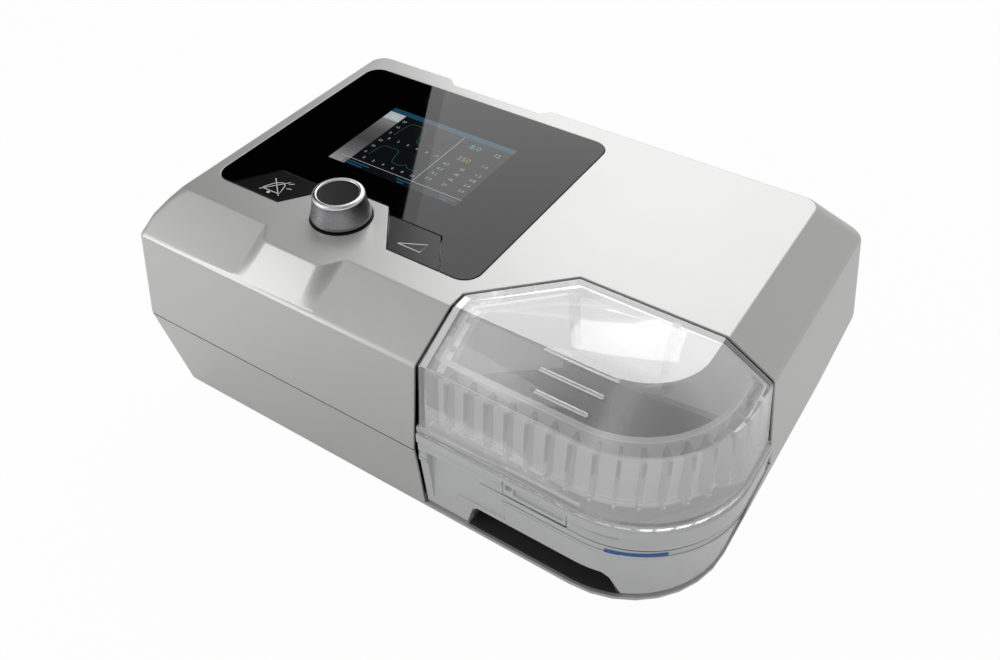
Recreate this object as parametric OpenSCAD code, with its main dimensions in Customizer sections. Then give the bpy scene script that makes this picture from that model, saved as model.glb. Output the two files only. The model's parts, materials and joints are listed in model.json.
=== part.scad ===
// Bilevel positive airway pressure machine with a heated humidifier chamber.
// Millimetres, +Z up. The origin is on the table under the middle of the case,
// the display end is at -X, the chamber is at the front right corner.

/* [Case] */
// Width of the case at the seam
case_w = 281; // [276:1:292]
// Depth of the case at the seam
case_d = 184; // [180:1:190]
// Height of the flat top above the table
top_z = 104; // [103:0.5:108]
// Height of the shoulder where the walls turn into the top bevels
shoulder_z = 91.5; // [90:0.5:93]
// Height of the seam between the case halves
seam_z = 47; // [45.5:0.5:49]
// Wall thickness of the case
wall = 2.5; // [2:0.1:2.8]
// Thickness of the roof under the display panel
roof_t = 4; // [3.6:0.1:4.4]
// Radius of the rear vertical corners
rear_r = 7.5; // [5:0.5:10]
// Radius of the front left vertical corner
front_r = 3; // [2:0.5:5]
// Width of the dark reveal line between the case halves
reveal = 0.5; // [0.3:0.1:1]
// Height of the rubber feet
foot_h = 3; // [2:0.5:4]
// Radius of the rubber feet
foot_r = 7; // [5:0.5:9]

/* [Bevels and drafts] */
// Width of the front bevel between shoulder and top
bevel_f = 25; // [20:0.5:28]
// Width of the right bevel
bevel_r = 21; // [16:0.5:24]
// Width of the left bevel
bevel_l = 6; // [4:0.5:7]
// Width of the rear bevel
bevel_b = 7.1; // [4:0.1:8]
// Inward draft of the left wall above the seam
draft_l = 3.2; // [2:0.2:5]
// Inward draft of the right wall above the seam
draft_r = 7; // [4:0.5:8]
// Inward draft of the front wall above the seam
draft_f = 5; // [4:0.5:6]
// Inward draft of the rear wall above the seam
draft_b = 3; // [2:0.2:4]
// Inward taper of the left wall below the seam
taper_l = 9.5; // [6:0.5:11]
// Inward taper of the other walls below the seam
taper = 4.5; // [3:0.5:5]

/* [Chamber bay] */
// Left side of the chamber bay
bay_x = 14.6; // [12:0.2:17]
// Depth of the chamber bay behind the case's front
bay_depth = 72.5; // [71:0.5:73.5]
// Legs of the diagonal that cuts the rear left corner of the bay
bay_cut = 34; // [28:1:38]
// Gap between the chamber and the bay
bay_gap = 1; // [0.8:0.1:1.3]
// Thickness of the tray under the chamber
tray_t = 3; // [2.5:0.5:4]
// Radius of the chamber's front right corner
round_r = 48; // [40:1:52]

/* [Display] */
// Left edge of the glass panel
panel_x0 = -126.4; // [-127:0.2:-124]
// Width of the glass panel
panel_w = 140.6; // [138:0.2:142]
// Front edge of the glass panel
panel_y0 = -47.6; // [-49:0.2:-46]
// Depth of the glass panel
panel_d = 118; // [112:1:121]
// Corner radius of the glass panel
panel_r = 8; // [5:0.5:10]
// Thickness of the glass panel
panel_t = 2.1; // [1.8:0.1:2.4]
// Width of the picture area, a 3.5 inch 4:3 display
lcd_w = 71.6; // [68:0.2:75]
// Height of the picture area
lcd_h = 51.4; // [49:0.2:53]
// Middle of the picture area in X
lcd_x = -56.2; // [-58:0.2:-54]
// Middle of the picture area in Y
lcd_y = 17.3; // [16:0.1:19]
// Gap round the keys
key_gap = 0.35; // [0.25:0.05:0.5]
// Thickness of a key's plate
key_t = 1.4; // [1.2:0.1:1.6]
// Travel of a key
key_travel = 0.5; // [0.4:0.1:0.6]

/* [Knob] */
// Place of the knob in X
knob_x = -57.9; // [-59:0.1:-57]
// Place of the knob in Y
knob_y = -40.2; // [-41:0.1:-39.6]
// Radius of the knob's foot
knob_r = 13.2; // [12.5:0.1:13.8]
// Radius of the knob's top rim
knob_top_r = 11.1; // [10.4:0.1:11.6]
// Height of the knob
knob_h = 11.7; // [10.5:0.1:13]
// Radius of the black knob cap
cap_r = 9.3; // [8.8:0.1:9.7]
// Travel of the knob when it is pressed
knob_travel = 0.6; // [0.5:0.1:0.8]
// Radius of the knob's shaft
shaft_r = 3; // [2.5:0.1:3.4]
// Radial clearance of shafts in their bearings
run_gap = 0.05; // [0.03:0.01:0.08]

/* [Chamber] */
// Height of the joint between the chamber's lid and tub
lid_z = 58; // [57:0.5:59]
// Wall thickness of the clear parts
clear_t = 2.2; // [1.8:0.1:2.4]
// Height of the flange at the foot of the lid
flange_h = 2.8; // [2.2:0.1:3.2]
// Distance of the inner skirt from the lid's outside
skirt_in = 7; // [6:0.5:8]
// Thickness of the inner skirt and its ribs
rib_t = 1.5; // [1.2:0.1:1.8]
// Pitch of the ribs
rib_pitch = 9; // [8:0.5:12]
// Height of the tub's ring
ring_h = 5; // [4.5:0.5:5.5]
// Depth of the finger recess
grip_d = 16; // [13:0.5:17]
// Height of the finger recess above the tray
grip_h = 17; // [15:0.5:18]
// Height of the seal between lid and tub
seal_h = 1.1; // [0.9:0.1:1.3]
// Travel of the lid latch
latch_travel = 1.5; // [1:0.1:1.8]

/* [Heater] */
// Width of the heater plate
heater_w = 71; // [66:1:73]
// Depth of the heater plate
heater_d = 34; // [30:0.5:35]
// Middle of the heater in X
heater_x = 82.5; // [81:0.5:83.5]
// Distance of the heater's middle from the case's front
heater_in = 49; // [48.5:0.25:49.5]
// Height of the heater dock above the tray
dock_h = 6.4; // [6:0.1:7]
// Travel of the sprung heater plate
heater_travel = 1; // [0.6:0.1:1.2]

/* [Air path] */
// Radius of the air outlet connector, a 22 mm hose port
port_r = 11; // [10.8:0.1:11.2]
// Bore radius of the air outlet connector
port_bore = 8.5; // [8:0.1:9]
// Place of the outlet in X
port_x = 70; // [69:0.5:71]
// Height of the outlet
port_z = 77; // [76:0.5:78]
// Radius of the recess round the outlet connector
pocket_r = 19; // [18:0.5:19.5]
// Depth of the recess round the outlet connector
pocket_d = 22; // [20:0.5:22]
// Bore radius of the inner air ducts
duct_bore = 7.5; // [6:0.5:8]
// Wall thickness of the inner air ducts
duct_t = 2; // [1.5:0.1:2.2]
// Distance of the blower's middle from the case's right side
blower_in = 52.5; // [51:0.5:54]
// Distance of the blower's middle behind the middle of the room at the rear of the bay
blower_back = 5.75; // [5:0.25:6.5]
// Radius of the impeller
fan_r = 24; // [20:0.5:24]
// Number of blades on the impeller
fan_blades = 11; // [7:1:13]
// Growth of the scroll's radius over one turn
scroll_grow = 8; // [6:0.5:8]
// Height of the scroll's inside
scroll_h = 22; // [21:0.5:23]

/* [Filter] */
// Middle of the filter recess in X
filter_x = -55; // [-57:0.5:-53]
// Width of the filter recess at its floor
filter_w = 51; // [48:1:54]
// Depth of the filter recess
filter_d = 4.5; // [4:0.1:5]
// Height of the filter cover
filter_h = 38; // [34:1:40]
// Number of slots in the filter cover
filter_slots = 7; // [5:1:8]
// Thickness of the filter foam
foam_t = 6; // [5:0.5:7]

/* [Hidden] */
bay_y = -case_d/2 + bay_depth;
heater_y = -case_d/2 + heater_in;
blower_x = case_w/2 - blower_in;
blower_y = bay_depth/2 + blower_back;
e = 0.02;
far = 400;
silver = [0.72, 0.72, 0.71];
dark = [0.13, 0.13, 0.14];
clear = [0.86, 0.88, 0.89, 0.45];

// Case levels: 0 base, 1 seam, 2 shoulder, 3 top. Each gives [x0, x1, y0, y1].
lev_z = [foot_h, seam_z, shoulder_z, top_z];
ins_l = [taper_l, 0, draft_l, draft_l + bevel_l];
ins_r = [taper, 0, draft_r, draft_r + bevel_r];
ins_f = [taper, 0, draft_f, draft_f + bevel_f];
ins_b = [taper, 0, draft_b, draft_b + bevel_b];
function ext(k, g = 0) = [-case_w/2 + ins_l[k] + g, case_w/2 - ins_r[k] - g,
    -case_d/2 + ins_f[k] + g, case_d/2 - ins_b[k] - g];
function mix(k, t, g = 0) = ext(k, g)*(1 - t) + ext(k + 1, g)*t;
function mix_z(k, t) = lev_z[k]*(1 - t) + lev_z[k + 1]*t;
// Wall face at a height below the seam or between seam and shoulder
function low_t(z) = (z - foot_h)/(seam_z - foot_h);
function up_t(z) = (z - seam_z)/(shoulder_z - seam_z);

tray_z = foot_h + tray_t;
floor_z = foot_h + wall;
roof_z = top_z - roof_t;
pocket_z = top_z - panel_t;
board_z = roof_z - 9.5;
board_t = 1.6;
top_f = ext(3)[2];
top_r = ext(3)[1];
sho_f = ext(2)[2];
sho_r = ext(2)[1];

// Bay outline moved outwards by g
function bay_pts(g) = [[bay_x - g, -far], [bay_x - g, bay_y - bay_cut + g*(sqrt(2) - 1)],
    [bay_x + bay_cut - g*(sqrt(2) - 1), bay_y + g], [far, bay_y + g], [far, -far]];

// Key and knob notch outlines on the panel's front edge
notch_dx = 30.1;
notch_top = 13.2;
notch_h = 24;
key_h = 19;
key_w = 26.6;
slant = (notch_dx - notch_top)/notch_h;
notch_y = panel_y0 + notch_h;
board_d = 104;
board_x0 = panel_x0 + 5;
board_w = panel_w - 12;
board_y0 = panel_y0 + 2;

// Blower and duct heights
blow_z = floor_z + 6.5;
scroll_z = blow_z + 2;
scroll_top = scroll_z + scroll_h;
cover_t = 2;
scroll_r0 = fan_r + 1.5;
out_dx = fan_r;
out_z = scroll_z + scroll_h/2;
boot_x = blower_x + out_dx;
boot_y = bay_y + wall + duct_bore + duct_t + 2;
duct_r = duct_bore + duct_t;
ring_y = bay_y + wall;
inlet_r = 12;
inlet_z0 = scroll_top + cover_t + 8;
inlet_h = 14;
inlet_d = 24;
pocket_y = case_d/2 - pocket_d;
sock_z = 27;
main_z = 24;

module loft(rows, rf = front_r, rfr = front_r, rb = rear_r) {
    hull() {
        for (w = rows) {
            k = len(w) > 2 ? w[2] : 1;
            for (c = [[w[1][0] + rf*k, w[1][2] + rf*k, rf*k], [w[1][1] - rfr, w[1][2] + rfr, rfr],
                    [w[1][1] - rb, w[1][3] - rb, rb], [w[1][0] + rb, w[1][3] - rb, rb]]) {
                translate([c[0], c[1], w[0]]) cylinder(r = c[2], h = e, $fn = 32);
            }
        }
    }
}

module prism(pts, z0, z1) {
    translate([0, 0, z0]) linear_extrude(z1 - z0) polygon(pts);
}

module box(a, b) {
    translate(a) cube([b[0] - a[0], b[1] - a[1], b[2] - a[2]]);
}

module round_box(cx, cy, w, d, r, z0, z1) {
    translate([cx - w/2 + r, cy - d/2, z0]) cube([w - 2*r, d, z1 - z0]);
    translate([cx - w/2, cy - d/2 + r, z0]) cube([w, d - 2*r, z1 - z0]);
    for (sx = [-1, 1]) {
        for (sy = [-1, 1]) {
            translate([cx + sx*(w/2 - r), cy + sy*(d/2 - r), z0]) cylinder(r = r, h = z1 - z0, $fn = 48);
        }
    }
}

// A rounded rectangle in the XZ plane, extruded along Y
module round_slab(cx, cz, w, h, r, y0, y1) {
    translate([0, y1, 0]) rotate([90, 0, 0]) round_box(cx, cz, w, h, r, 0, y1 - y0);
}

module pipe_y(x, z, r, y0, y1) {
    translate([x, y1, z]) rotate([90, 0, 0]) cylinder(r = r, h = y1 - y0, $fn = 64);
}

module pipe_z(x, y, r, z0, z1, fn = 64) {
    translate([x, y, z0]) cylinder(r = r, h = z1 - z0, $fn = fn);
}

// Screw bosses: near the four corners of the room that the bay leaves
boss_pts = [[-case_w/2 + 22, -case_d/2 + 22], [-case_w/2 + 22, case_d/2 - 20],
    [case_w/2 - 15, case_d/2 - 12], [bay_x - 10, -case_d/2 + 18]];
foot_pts = [[-case_w/2 + 38, -case_d/2 + 19], [-case_w/2 + 38, case_d/2 - 18],
    [case_w/2 - 32, case_d/2 - 16], [case_w/2 - 40, -case_d/2 + 28]];
boss_r = 5;
screw_r = 1.5;
head_z = seam_z - 9;

module filter_recess(g, z0) {
    yb = ext(3)[3] - filter_d - g;
    w = filter_w/2 + g;
    prism([[filter_x - w, yb], [filter_x + w, yb], [filter_x + w + filter_d + 12, yb + filter_d + 12],
        [filter_x - w - filter_d - 12, yb + filter_d + 12]], z0 - g, far);
}
filter_floor = ext(3)[3] - filter_d;
filter_z1 = roof_z - 5;
filter_z0 = filter_z1 - filter_h;

// A level of the bevels, with the left one rounded: its own inset is a fraction s of the width
function bevel_row(t, s, k = 1) = [mix_z(2, t), mix(2, t) + [bevel_l*(s - t), 0, 0, 0], k];

module top_outer() {
    loft([[seam_z, ext(1)], [mix_z(1, 0.985) - e, mix(1, 0.985)], bevel_row(0.07, 0.07),
        bevel_row(0.35, 0), bevel_row(0.65, 0.29, 1.4), bevel_row(0.88, 0.66, 1.7),
        bevel_row(0.965, 0.88, 2), [top_z - e, ext(3, 0.5), 2]]);
}

// The step of the top face under the knob, which runs down to the shoulder
module knob_step() {
    hull() {
        prism([[knob_x - 22, top_f + 2], [knob_x + 21, top_f + 2], [knob_x + 12.4, top_f - 9.2],
            [knob_x - 14.3, top_f - 9.2]], top_z - 0.25, top_z);
        prism([[knob_x - 18, sho_f + 0.3], [knob_x + 14, sho_f + 0.3], [knob_x + 14, sho_f + 3],
            [knob_x - 18, sho_f + 3]], shoulder_z - 1, shoulder_z);
        prism([[knob_x - 22, top_f + 2], [knob_x + 21, top_f + 2], [knob_x + 18, top_f - 2],
            [knob_x - 19, top_f - 2]], shoulder_z, shoulder_z + 1);
    }
}

// The upper half of the case with the walls of its bay
module upper_solid() {
    difference() {
        union() {
            difference() {
                union() {
                    top_outer();
                    knob_step();
                }
                difference() {
                    loft([[seam_z - 1, ext(1, wall)], [shoulder_z - 1.6, ext(2, wall)],
                        [roof_z - e, ext(3, 1.2)]]);
                    prism(bay_pts(wall), seam_z - 2, far);
                    filter_recess(wall, seam_z + 4);
                    pipe_y(port_x, port_z, pocket_r + wall, pocket_y - wall, far);
                }
            }
            intersection() {
                top_outer();
                union() {
                    for (p = boss_pts) pipe_z(p[0], p[1], boss_r, seam_z, roof_z + 0.5, 48);
                    for (p = board_posts) pipe_z(p[0], p[1], 3, board_z + board_t, roof_z + 0.5, 32);
                }
            }
        }
        prism(bay_pts(0), seam_z - 1, far);
        filter_recess(0, seam_z + 6);
        pipe_y(port_x, port_z, pocket_r, pocket_y, far);
        pipe_y(port_x, port_z, port_r + 0.7, pocket_y - wall - 1, pocket_y + 1);
        for (p = boss_pts) pipe_z(p[0], p[1], screw_r + 0.05, seam_z - 1, seam_z + 10, 32);
        // Window behind the filter cover
        box([filter_x - filter_w/2 + 4, filter_floor - wall - 1, filter_z0 + 3],
            [filter_x + filter_w/2 - 4, filter_floor + 1, filter_z1 - 3]);
        // Pocket for the glass panel and the keys, with the window for the display
        translate([0, 0, pocket_z]) linear_extrude(far) difference() {
            panel_shape(0.2);
            notch_shape(-0.2);
        }
        round_box(lcd_x, lcd_y, lcd_w + 5.4, lcd_h + 5.4, 2, roof_z - 1, top_z);
        for (k = [0, 1]) pipe_z(key_mid(k)[0], key_mid(k)[1], 3, roof_z - 1, top_z, 32);
        pipe_z(knob_x, knob_y, shaft_r + 1.4, roof_z - 1, top_z + 1, 48);
        pipe_z(knob_x, knob_y, knob_r + 0.6, top_z - 0.8, top_z + 1, 96);
        // Holes for the two dock gaskets
        round_slab(port_x, gasket_z, gasket_w, gasket_h, 4, bay_y - 1, ring_y + 1);
        pipe_y(boot_x, port_z, duct_r + 1.6, bay_y - 1, ring_y + 1);
    }
}

// Plan of the bay's walls with the strip of roof above them: 0 left, 1 corner, 2 rear
module bay_strip(k) {
    x0 = bay_x - strip_w;
    x1 = bay_x + bay_cut;
    y0 = bay_y - bay_cut;
    y1 = bay_y + strip_w;
    if (k == 0) box([x0, -far, 0], [bay_x + 1, y0, far]);
    if (k == 1) prism([[x0, y0], [x1, y0], [x1, y1]], 0, far);
    if (k == 2) box([x1, bay_y - 1, 0], [far, y1, far]);
}
strip_w = 16;

module top_case() {
    color(silver) difference() {
        upper_solid();
        for (k = [0:2]) bay_strip(k);
    }
}

module bay_wall(k) {
    color(silver) intersection() {
        upper_solid();
        bay_strip(k);
    }
}

module bay_wall_left() { bay_wall(0); }
module bay_wall_corner() { bay_wall(1); }
module bay_wall_rear() { bay_wall(2); }

module rounded_rect(x0, y0, w, d, r) {
    translate([x0 + r, y0]) square([w - 2*r, d]);
    translate([x0, y0 + r]) square([w, d - 2*r]);
    for (p = [[x0 + r, y0 + r], [x0 + w - r, y0 + r], [x0 + w - r, y0 + d - r], [x0 + r, y0 + d - r]]) {
        translate(p) circle(r = r, $fn = 48);
    }
}

module panel_shape(g) {
    rounded_rect(panel_x0 - g, panel_y0 - g, panel_w + 2*g, panel_d + 2*g, panel_r + g);
}

// The silver notch round the knob; g grows it
module notch_shape(g) {
    polygon([[knob_x - notch_dx - g, panel_y0 - 5], [knob_x - notch_dx - g, panel_y0],
        [knob_x - notch_top - g, notch_y + g], [knob_x + notch_top + g, notch_y + g],
        [knob_x + notch_dx + g, panel_y0], [knob_x + notch_dx + g, panel_y0 - 5]]);
}

// Outline of a key, 0 mute or 1 ramp, beside the notch; g grows it
module key_shape(k, g) {
    s = k == 0 ? -1 : 1;
    x0 = knob_x + s*notch_dx;
    polygon([[x0 - s*g, panel_y0 - g*0.01], [x0 - s*(slant*key_h + g), panel_y0 + key_h + g],
        [x0 - s*(slant*key_h - g) + s*(key_w + 1), panel_y0 + key_h + g],
        [x0 + s*(key_w + g), panel_y0 - g*0.01]]);
}
function key_mid(k) = [knob_x + (k == 0 ? -1 : 1)*(notch_dx + key_w/2 - 5), panel_y0 + 8.5];

module display_lens() {
    color([0.03, 0.03, 0.035]) translate([0, 0, pocket_z]) linear_extrude(panel_t + 0.1) difference() {
        panel_shape(0);
        notch_shape(0.2);
        for (k = [0, 1]) key_shape(k, key_gap);
        translate([0, -1]) for (k = [0, 1]) key_shape(k, key_gap);
    }
}

module key(k) {
    translate([0, 0, top_z + 0.1 - key_t]) linear_extrude(key_t) difference() {
        key_shape(k, 0);
        notch_shape(key_gap + 0.1);
    }
    pipe_z(key_mid(k)[0], key_mid(k)[1], 2.4, board_z + board_t + 4.1, top_z + 0.2 - key_t, 32);
}

module mute_key() { color([0.1, 0.1, 0.11]) key(0); }
module ramp_key() { color([0.2, 0.2, 0.21]) key(1); }

module key_switches() {
    color([0.2, 0.2, 0.22]) for (k = [0, 1]) translate([key_mid(k)[0], key_mid(k)[1], board_z + board_t]) {
        translate([-3, -3, 0]) cube([6, 6, 2.8]);
        cylinder(r = 1.7, h = 3.5, $fn = 32);
    }
}

board_posts = [[board_x0 + 5, board_y0 + 6], [board_x0 + 5, board_y0 + board_d - 5],
    [board_x0 + board_w - 5, board_y0 + 6], [board_x0 + board_w - 5, board_y0 + board_d - 5]];

module display_board() {
    color([0.05, 0.3, 0.16]) difference() {
        box([board_x0, board_y0, board_z], [board_x0 + board_w, board_y0 + board_d, board_z + board_t]);
        for (p = board_posts) pipe_z(p[0], p[1], 1.3, board_z - 1, board_z + board_t + 1, 32);
    }
}

module lcd_module() {
    z0 = board_z + board_t;
    color([0.08, 0.1, 0.12]) {
        box([lcd_x - lcd_w/2 - 5, lcd_y - lcd_h/2 - 5, z0 + 2.4],
            [lcd_x + lcd_w/2 + 5, lcd_y + lcd_h/2 + 5, roof_z - 0.1]);
        round_box(lcd_x, lcd_y, lcd_w + 5, lcd_h + 5, 2, roof_z - 0.2, pocket_z - 0.1);
        for (sx = [-1, 1]) {
            for (sy = [-1, 1]) {
                pipe_z(lcd_x + sx*(lcd_w/2 + 2), lcd_y + sy*(lcd_h/2 + 2), 2, z0, z0 + 2.6, 32);
            }
        }
    }
}

module encoder_body() {
    z0 = board_z + board_t;
    color([0.55, 0.56, 0.58]) difference() {
        union() {
            translate([knob_x - 6.5, knob_y - 6.5, z0]) cube([13, 13, 5.5]);
            pipe_z(knob_x, knob_y, shaft_r + 1.2, z0 + 5, roof_z + 0.6, 48);
        }
        pipe_z(knob_x, knob_y, shaft_r + run_gap, z0 + 1, roof_z + 2, 64);
    }
}

module knob_collar() {
    color(dark) difference() {
        pipe_z(knob_x, knob_y, knob_r + 0.5, top_z - 0.8, top_z + 0.1, 96);
        pipe_z(knob_x, knob_y, shaft_r + 1.4, top_z - 2, top_z + 1, 48);
    }
}

knob_z = top_z + 0.2 + knob_travel;
knob_top = knob_z + knob_h;

module knob_plunger() {
    z0 = board_z + board_t + 1 + knob_travel + 0.2;
    color([0.8, 0.8, 0.8]) pipe_z(knob_x, knob_y, shaft_r - 0.3, z0, z0 + 1.2, 48);
}

module knob_shaft() {
    z0 = board_z + board_t + 1 + knob_travel + 0.2 + 1.2;
    color([0.75, 0.75, 0.76]) pipe_z(knob_x, knob_y, shaft_r, z0, knob_top - 4, 64);
}

// Turned aluminium knob: a flared skirt, a bright rim and a hub on the shaft
module knob_shell() {
    color([0.78, 0.78, 0.79]) translate([knob_x, knob_y, knob_z]) difference() {
        rotate_extrude($fn = 128) polygon([[0, 2], [knob_r - 2, 2], [knob_r - 2, 0], [knob_r - 0.4, 0],
            [knob_r, 0.5], [knob_r, 1.6], [knob_r - 0.35, 2.6], [knob_top_r + 0.55, knob_h*0.62],
            [knob_top_r + 0.1, knob_h - 2], [knob_top_r, knob_h - 1.1], [knob_top_r - 0.45, knob_h - 0.25],
            [knob_top_r - 1, knob_h], [cap_r + 0.35, knob_h], [cap_r, knob_h - 0.5], [cap_r, knob_h - 2.6],
            [0, knob_h - 2.6]]);
        translate([0, 0, -1]) cylinder(r = shaft_r, h = knob_h - 3, $fn = 64);
    }
}

module knob_cap() {
    color(dark) translate([knob_x, knob_y, knob_top - 2.6]) rotate_extrude($fn = 96)
        polygon([[0, 0], [cap_r, 0], [cap_r, 1.9], [cap_r - 0.5, 2.15], [cap_r - 3, 1.85], [0, 1.7]]);
}

module bottom_case() {
    color(silver) difference() {
        union() {
            difference() {
                union() {
                    loft([[foot_h, ext(0, 0.8)], [foot_h + 1, mix(0, 0.02)],
                        [seam_z - reveal - e, mix(0, 1 - reveal/(seam_z - foot_h))]], front_r, round_r);
                    loft([[seam_z - reveal - 1, ext(1, 0.8)], [seam_z - e, ext(1, 0.8)]], front_r, round_r);
                }
                difference() {
                    loft([[floor_z, ext(0, wall)], [seam_z + 1, ext(1, wall)]], front_r, round_r);
                    prism(bay_pts(wall), 0, far);
                }
            }
            for (p = boss_pts) pipe_z(p[0], p[1], boss_r, foot_h, seam_z, 48);
            for (p = main_posts) pipe_z(p[0], p[1], 3, foot_h + 1, main_z, 32);
            for (p = muffler_posts) pipe_z(p[0], p[1], 4, foot_h + 1, muff_z0, 32);
        }
        prism(bay_pts(0), tray_z, far);
        for (p = boss_pts) {
            pipe_z(p[0], p[1], 3.2, 0, head_z, 48);
            pipe_z(p[0], p[1], screw_r + 0.3, 0, far, 32);
        }
        // Slot of the memory card in the left wall
        box([-far, card_y - card_w/2 - 0.6, sock_z - 0.4], [-case_w/2 + 20, card_y + card_w/2 + 0.6, sock_z + 2.5]);
        box([-far, card_y - 7, sock_z - 2], [mix(0, low_t(sock_z))[0] + 1.2, card_y + 7, sock_z + 4.1]);
        pipe_y(power_x, power_z, 5.2, case_d/2 - 12, far);
    }
}

card_w = 24;
card_l = 32;
card_y = -case_d/2 + 60;
power_x = 24;
power_z = 28;
main_x0 = -case_w/2 + 12;
main_x1 = bay_x - 24;
main_y0 = -case_d/2 + 10;
main_y1 = -5;
post_in = 6;
main_w = main_x1 - main_x0;
main_d = main_y1 - main_y0;
main_posts = [[main_x0 + post_in, main_y0 + boss_r*2 + 12], [main_x0 + post_in, main_y1 - post_in],
    [main_x1 - post_in, main_y0 + post_in], [main_x1 - post_in, main_y1 - post_in]];
// Parts on the main board: middle as a share of the board, width, depth, height
main_parts = [[0.80, 0.76, 14, 14, 3], [0.48, 0.82, 14, 14, 2], [0.88, 0.38, 14, 14, 9], [0.62, 0.94, 30, 6, 7]];

module main_board() {
    zt = main_z + board_t;
    color([0.05, 0.3, 0.16]) difference() {
        union() {
            box([main_x0, main_y0, main_z], [main_x1, main_y1, zt]);
            for (m = main_parts) translate([main_x0 + m[0]*main_w - m[2]/2, main_y0 + m[1]*main_d - m[3]/2,
                zt - 0.1]) cube([m[2], m[3], m[4] + 0.1]);
            for (i = [0:2]) pipe_z(main_x0 + main_w*(0.32 + 0.135*i), main_y0 + 0.2*main_d, 5, zt - 0.1, zt + 12, 32);
        }
        pipe_z(boss_pts[0][0], boss_pts[0][1], boss_r + 1, 0, far, 48);
        for (p = main_posts) pipe_z(p[0], p[1], 1.3, main_z - 1, zt + 1, 32);
    }
}

sounder = [main_x0 + 0.64*main_w, main_y0 + 0.52*main_d];

module alarm_sounder() {
    color(dark) difference() {
        pipe_z(sounder[0], sounder[1], 6, main_z + board_t, main_z + board_t + 8, 64);
        pipe_z(sounder[0], sounder[1], 1.2, main_z + board_t + 5, main_z + board_t + 9, 32);
    }
}

card_x0 = mix(0, low_t(sock_z))[0] + 0.4;

module card_socket() {
    x0 = main_x0 + 1;
    color([0.7, 0.71, 0.73]) difference() {
        box([x0, card_y - card_w/2 - 2, main_z + board_t],
            [x0 + card_l - 2, card_y + card_w/2 + 2, sock_z + 3.4]);
        box([x0 - 1, card_y - card_w/2 - 0.3, sock_z - 0.2], [x0 + card_l - 4, card_y + card_w/2 + 0.3, sock_z + 2.4]);
    }
}

module memory_card() {
    color([0.1, 0.12, 0.2]) difference() {
        box([card_x0, card_y - card_w/2, sock_z], [card_x0 + card_l, card_y + card_w/2, sock_z + 2.1]);
        translate([card_x0 + card_l, card_y + card_w/2, sock_z - 1]) rotate([0, 0, 45])
            translate([-3, -3, 0]) cube([6, 6, 4]);
    }
}

module power_socket() {
    yb = mix(0, low_t(power_z))[3];
    color(dark) difference() {
        union() {
            pipe_y(power_x, power_z, 5, yb - 8, yb - 0.4);
            box([power_x - 7, yb - 17, power_z - 7], [power_x + 7, yb - wall - 1, power_z + 7]);
            box([power_x - 5, yb - 17, floor_z], [power_x + 5, yb - 6, power_z]);
        }
        pipe_y(power_x, power_z, 2.75, yb - 12, yb + 1);
    }
    color([0.8, 0.8, 0.8]) pipe_y(power_x, power_z, 1.05, yb - 13, yb - 2);
}

// Humidifier dock: a dark deck round the sprung heater plate
dock_z = tray_z + dock_h;
dock_w = heater_w + 8;
dock_y0 = heater_y - heater_d/2 - 4;
plate_r = 6;

module dock_liner() {
    color(dark) difference() {
        intersection() {
            box([heater_x - dock_w/2, dock_y0, tray_z], [heater_x + dock_w/2, bay_y - 0.2, dock_z]);
            prism(bay_pts(-0.2), 0, far);
        }
        box([heater_x - dock_w/2 + 1.5, dock_y0 + 1.5, tray_z - 1],
            [heater_x + dock_w/2 - 1.5, bay_y - 1.5, dock_z - 2]);
        round_box(heater_x, heater_y, heater_w + 0.8, heater_d + 0.8, plate_r + 0.4, tray_z, dock_z + 1);
    }
}

module heater_plate() {
    color([0.8, 0.8, 0.81]) {
        round_box(heater_x, heater_y, heater_w, heater_d, plate_r, dock_z - 2.6, dock_z + 0.3);
        round_box(heater_x, heater_y, heater_w + 3, heater_d + 3, plate_r, dock_z - 3.2, dock_z - 2);
    }
}

module heater_springs() {
    color([0.7, 0.7, 0.7]) for (sx = [-1, 1]) {
        for (sy = [-1, 1]) {
            translate([heater_x + sx*(heater_w/2 - 9), heater_y + sy*(heater_d/2 - 8), tray_z]) difference() {
                cylinder(r = 3, h = dock_h - 3.2, $fn = 32);
                translate([0, 0, -1]) cylinder(r = 2.2, h = 10, $fn = 32);
            }
        }
    }
}

gasket_w = 38;
gasket_h = 31;
gasket_z = port_z + 3.5;

module dock_gaskets() {
    y0 = bay_y - bay_gap + 0.3;
    color([0.25, 0.26, 0.28]) {
        difference() {
            round_slab(port_x, gasket_z, gasket_w - 0.1, gasket_h - 0.1, 3.95, y0, ring_y);
            round_slab(port_x, gasket_z, gasket_w - 6, gasket_h - 6, 3, y0 - 1, y0 + 1.8);
            pipe_y(port_x, port_z, duct_bore, y0 - 1, ring_y + 1);
        }
        difference() {
            pipe_y(boot_x, port_z, duct_r + 1.55, y0, ring_y);
            pipe_y(boot_x, port_z, duct_bore, y0 - 1, ring_y + 1);
        }
    }
}

// Scroll outline: the radius grows over one turn from the cutwater
function scroll_pts(g) = [for (i = [0:48]) let (a = -25 - i*7.1, r = scroll_r0 + g + scroll_grow*(1 - i/48))
    [r*cos(a), r*sin(a)]];

module scroll(g) {
    mirror([0, 0, 0]) polygon(scroll_pts(g));
}

module blower_housing() {
    color([0.3, 0.31, 0.33]) difference() {
        union() {
            translate([blower_x, blower_y, blow_z]) linear_extrude(scroll_top - blow_z) scroll(2);
            pipe_y(boot_x, out_z, duct_r, boot_y + duct_r + 0.5, blower_y - 8);
        }
        translate([blower_x, blower_y, scroll_z]) linear_extrude(far) scroll(0);
        pipe_y(boot_x, out_z, duct_bore, 0, blower_y - 6);
    }
}

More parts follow.
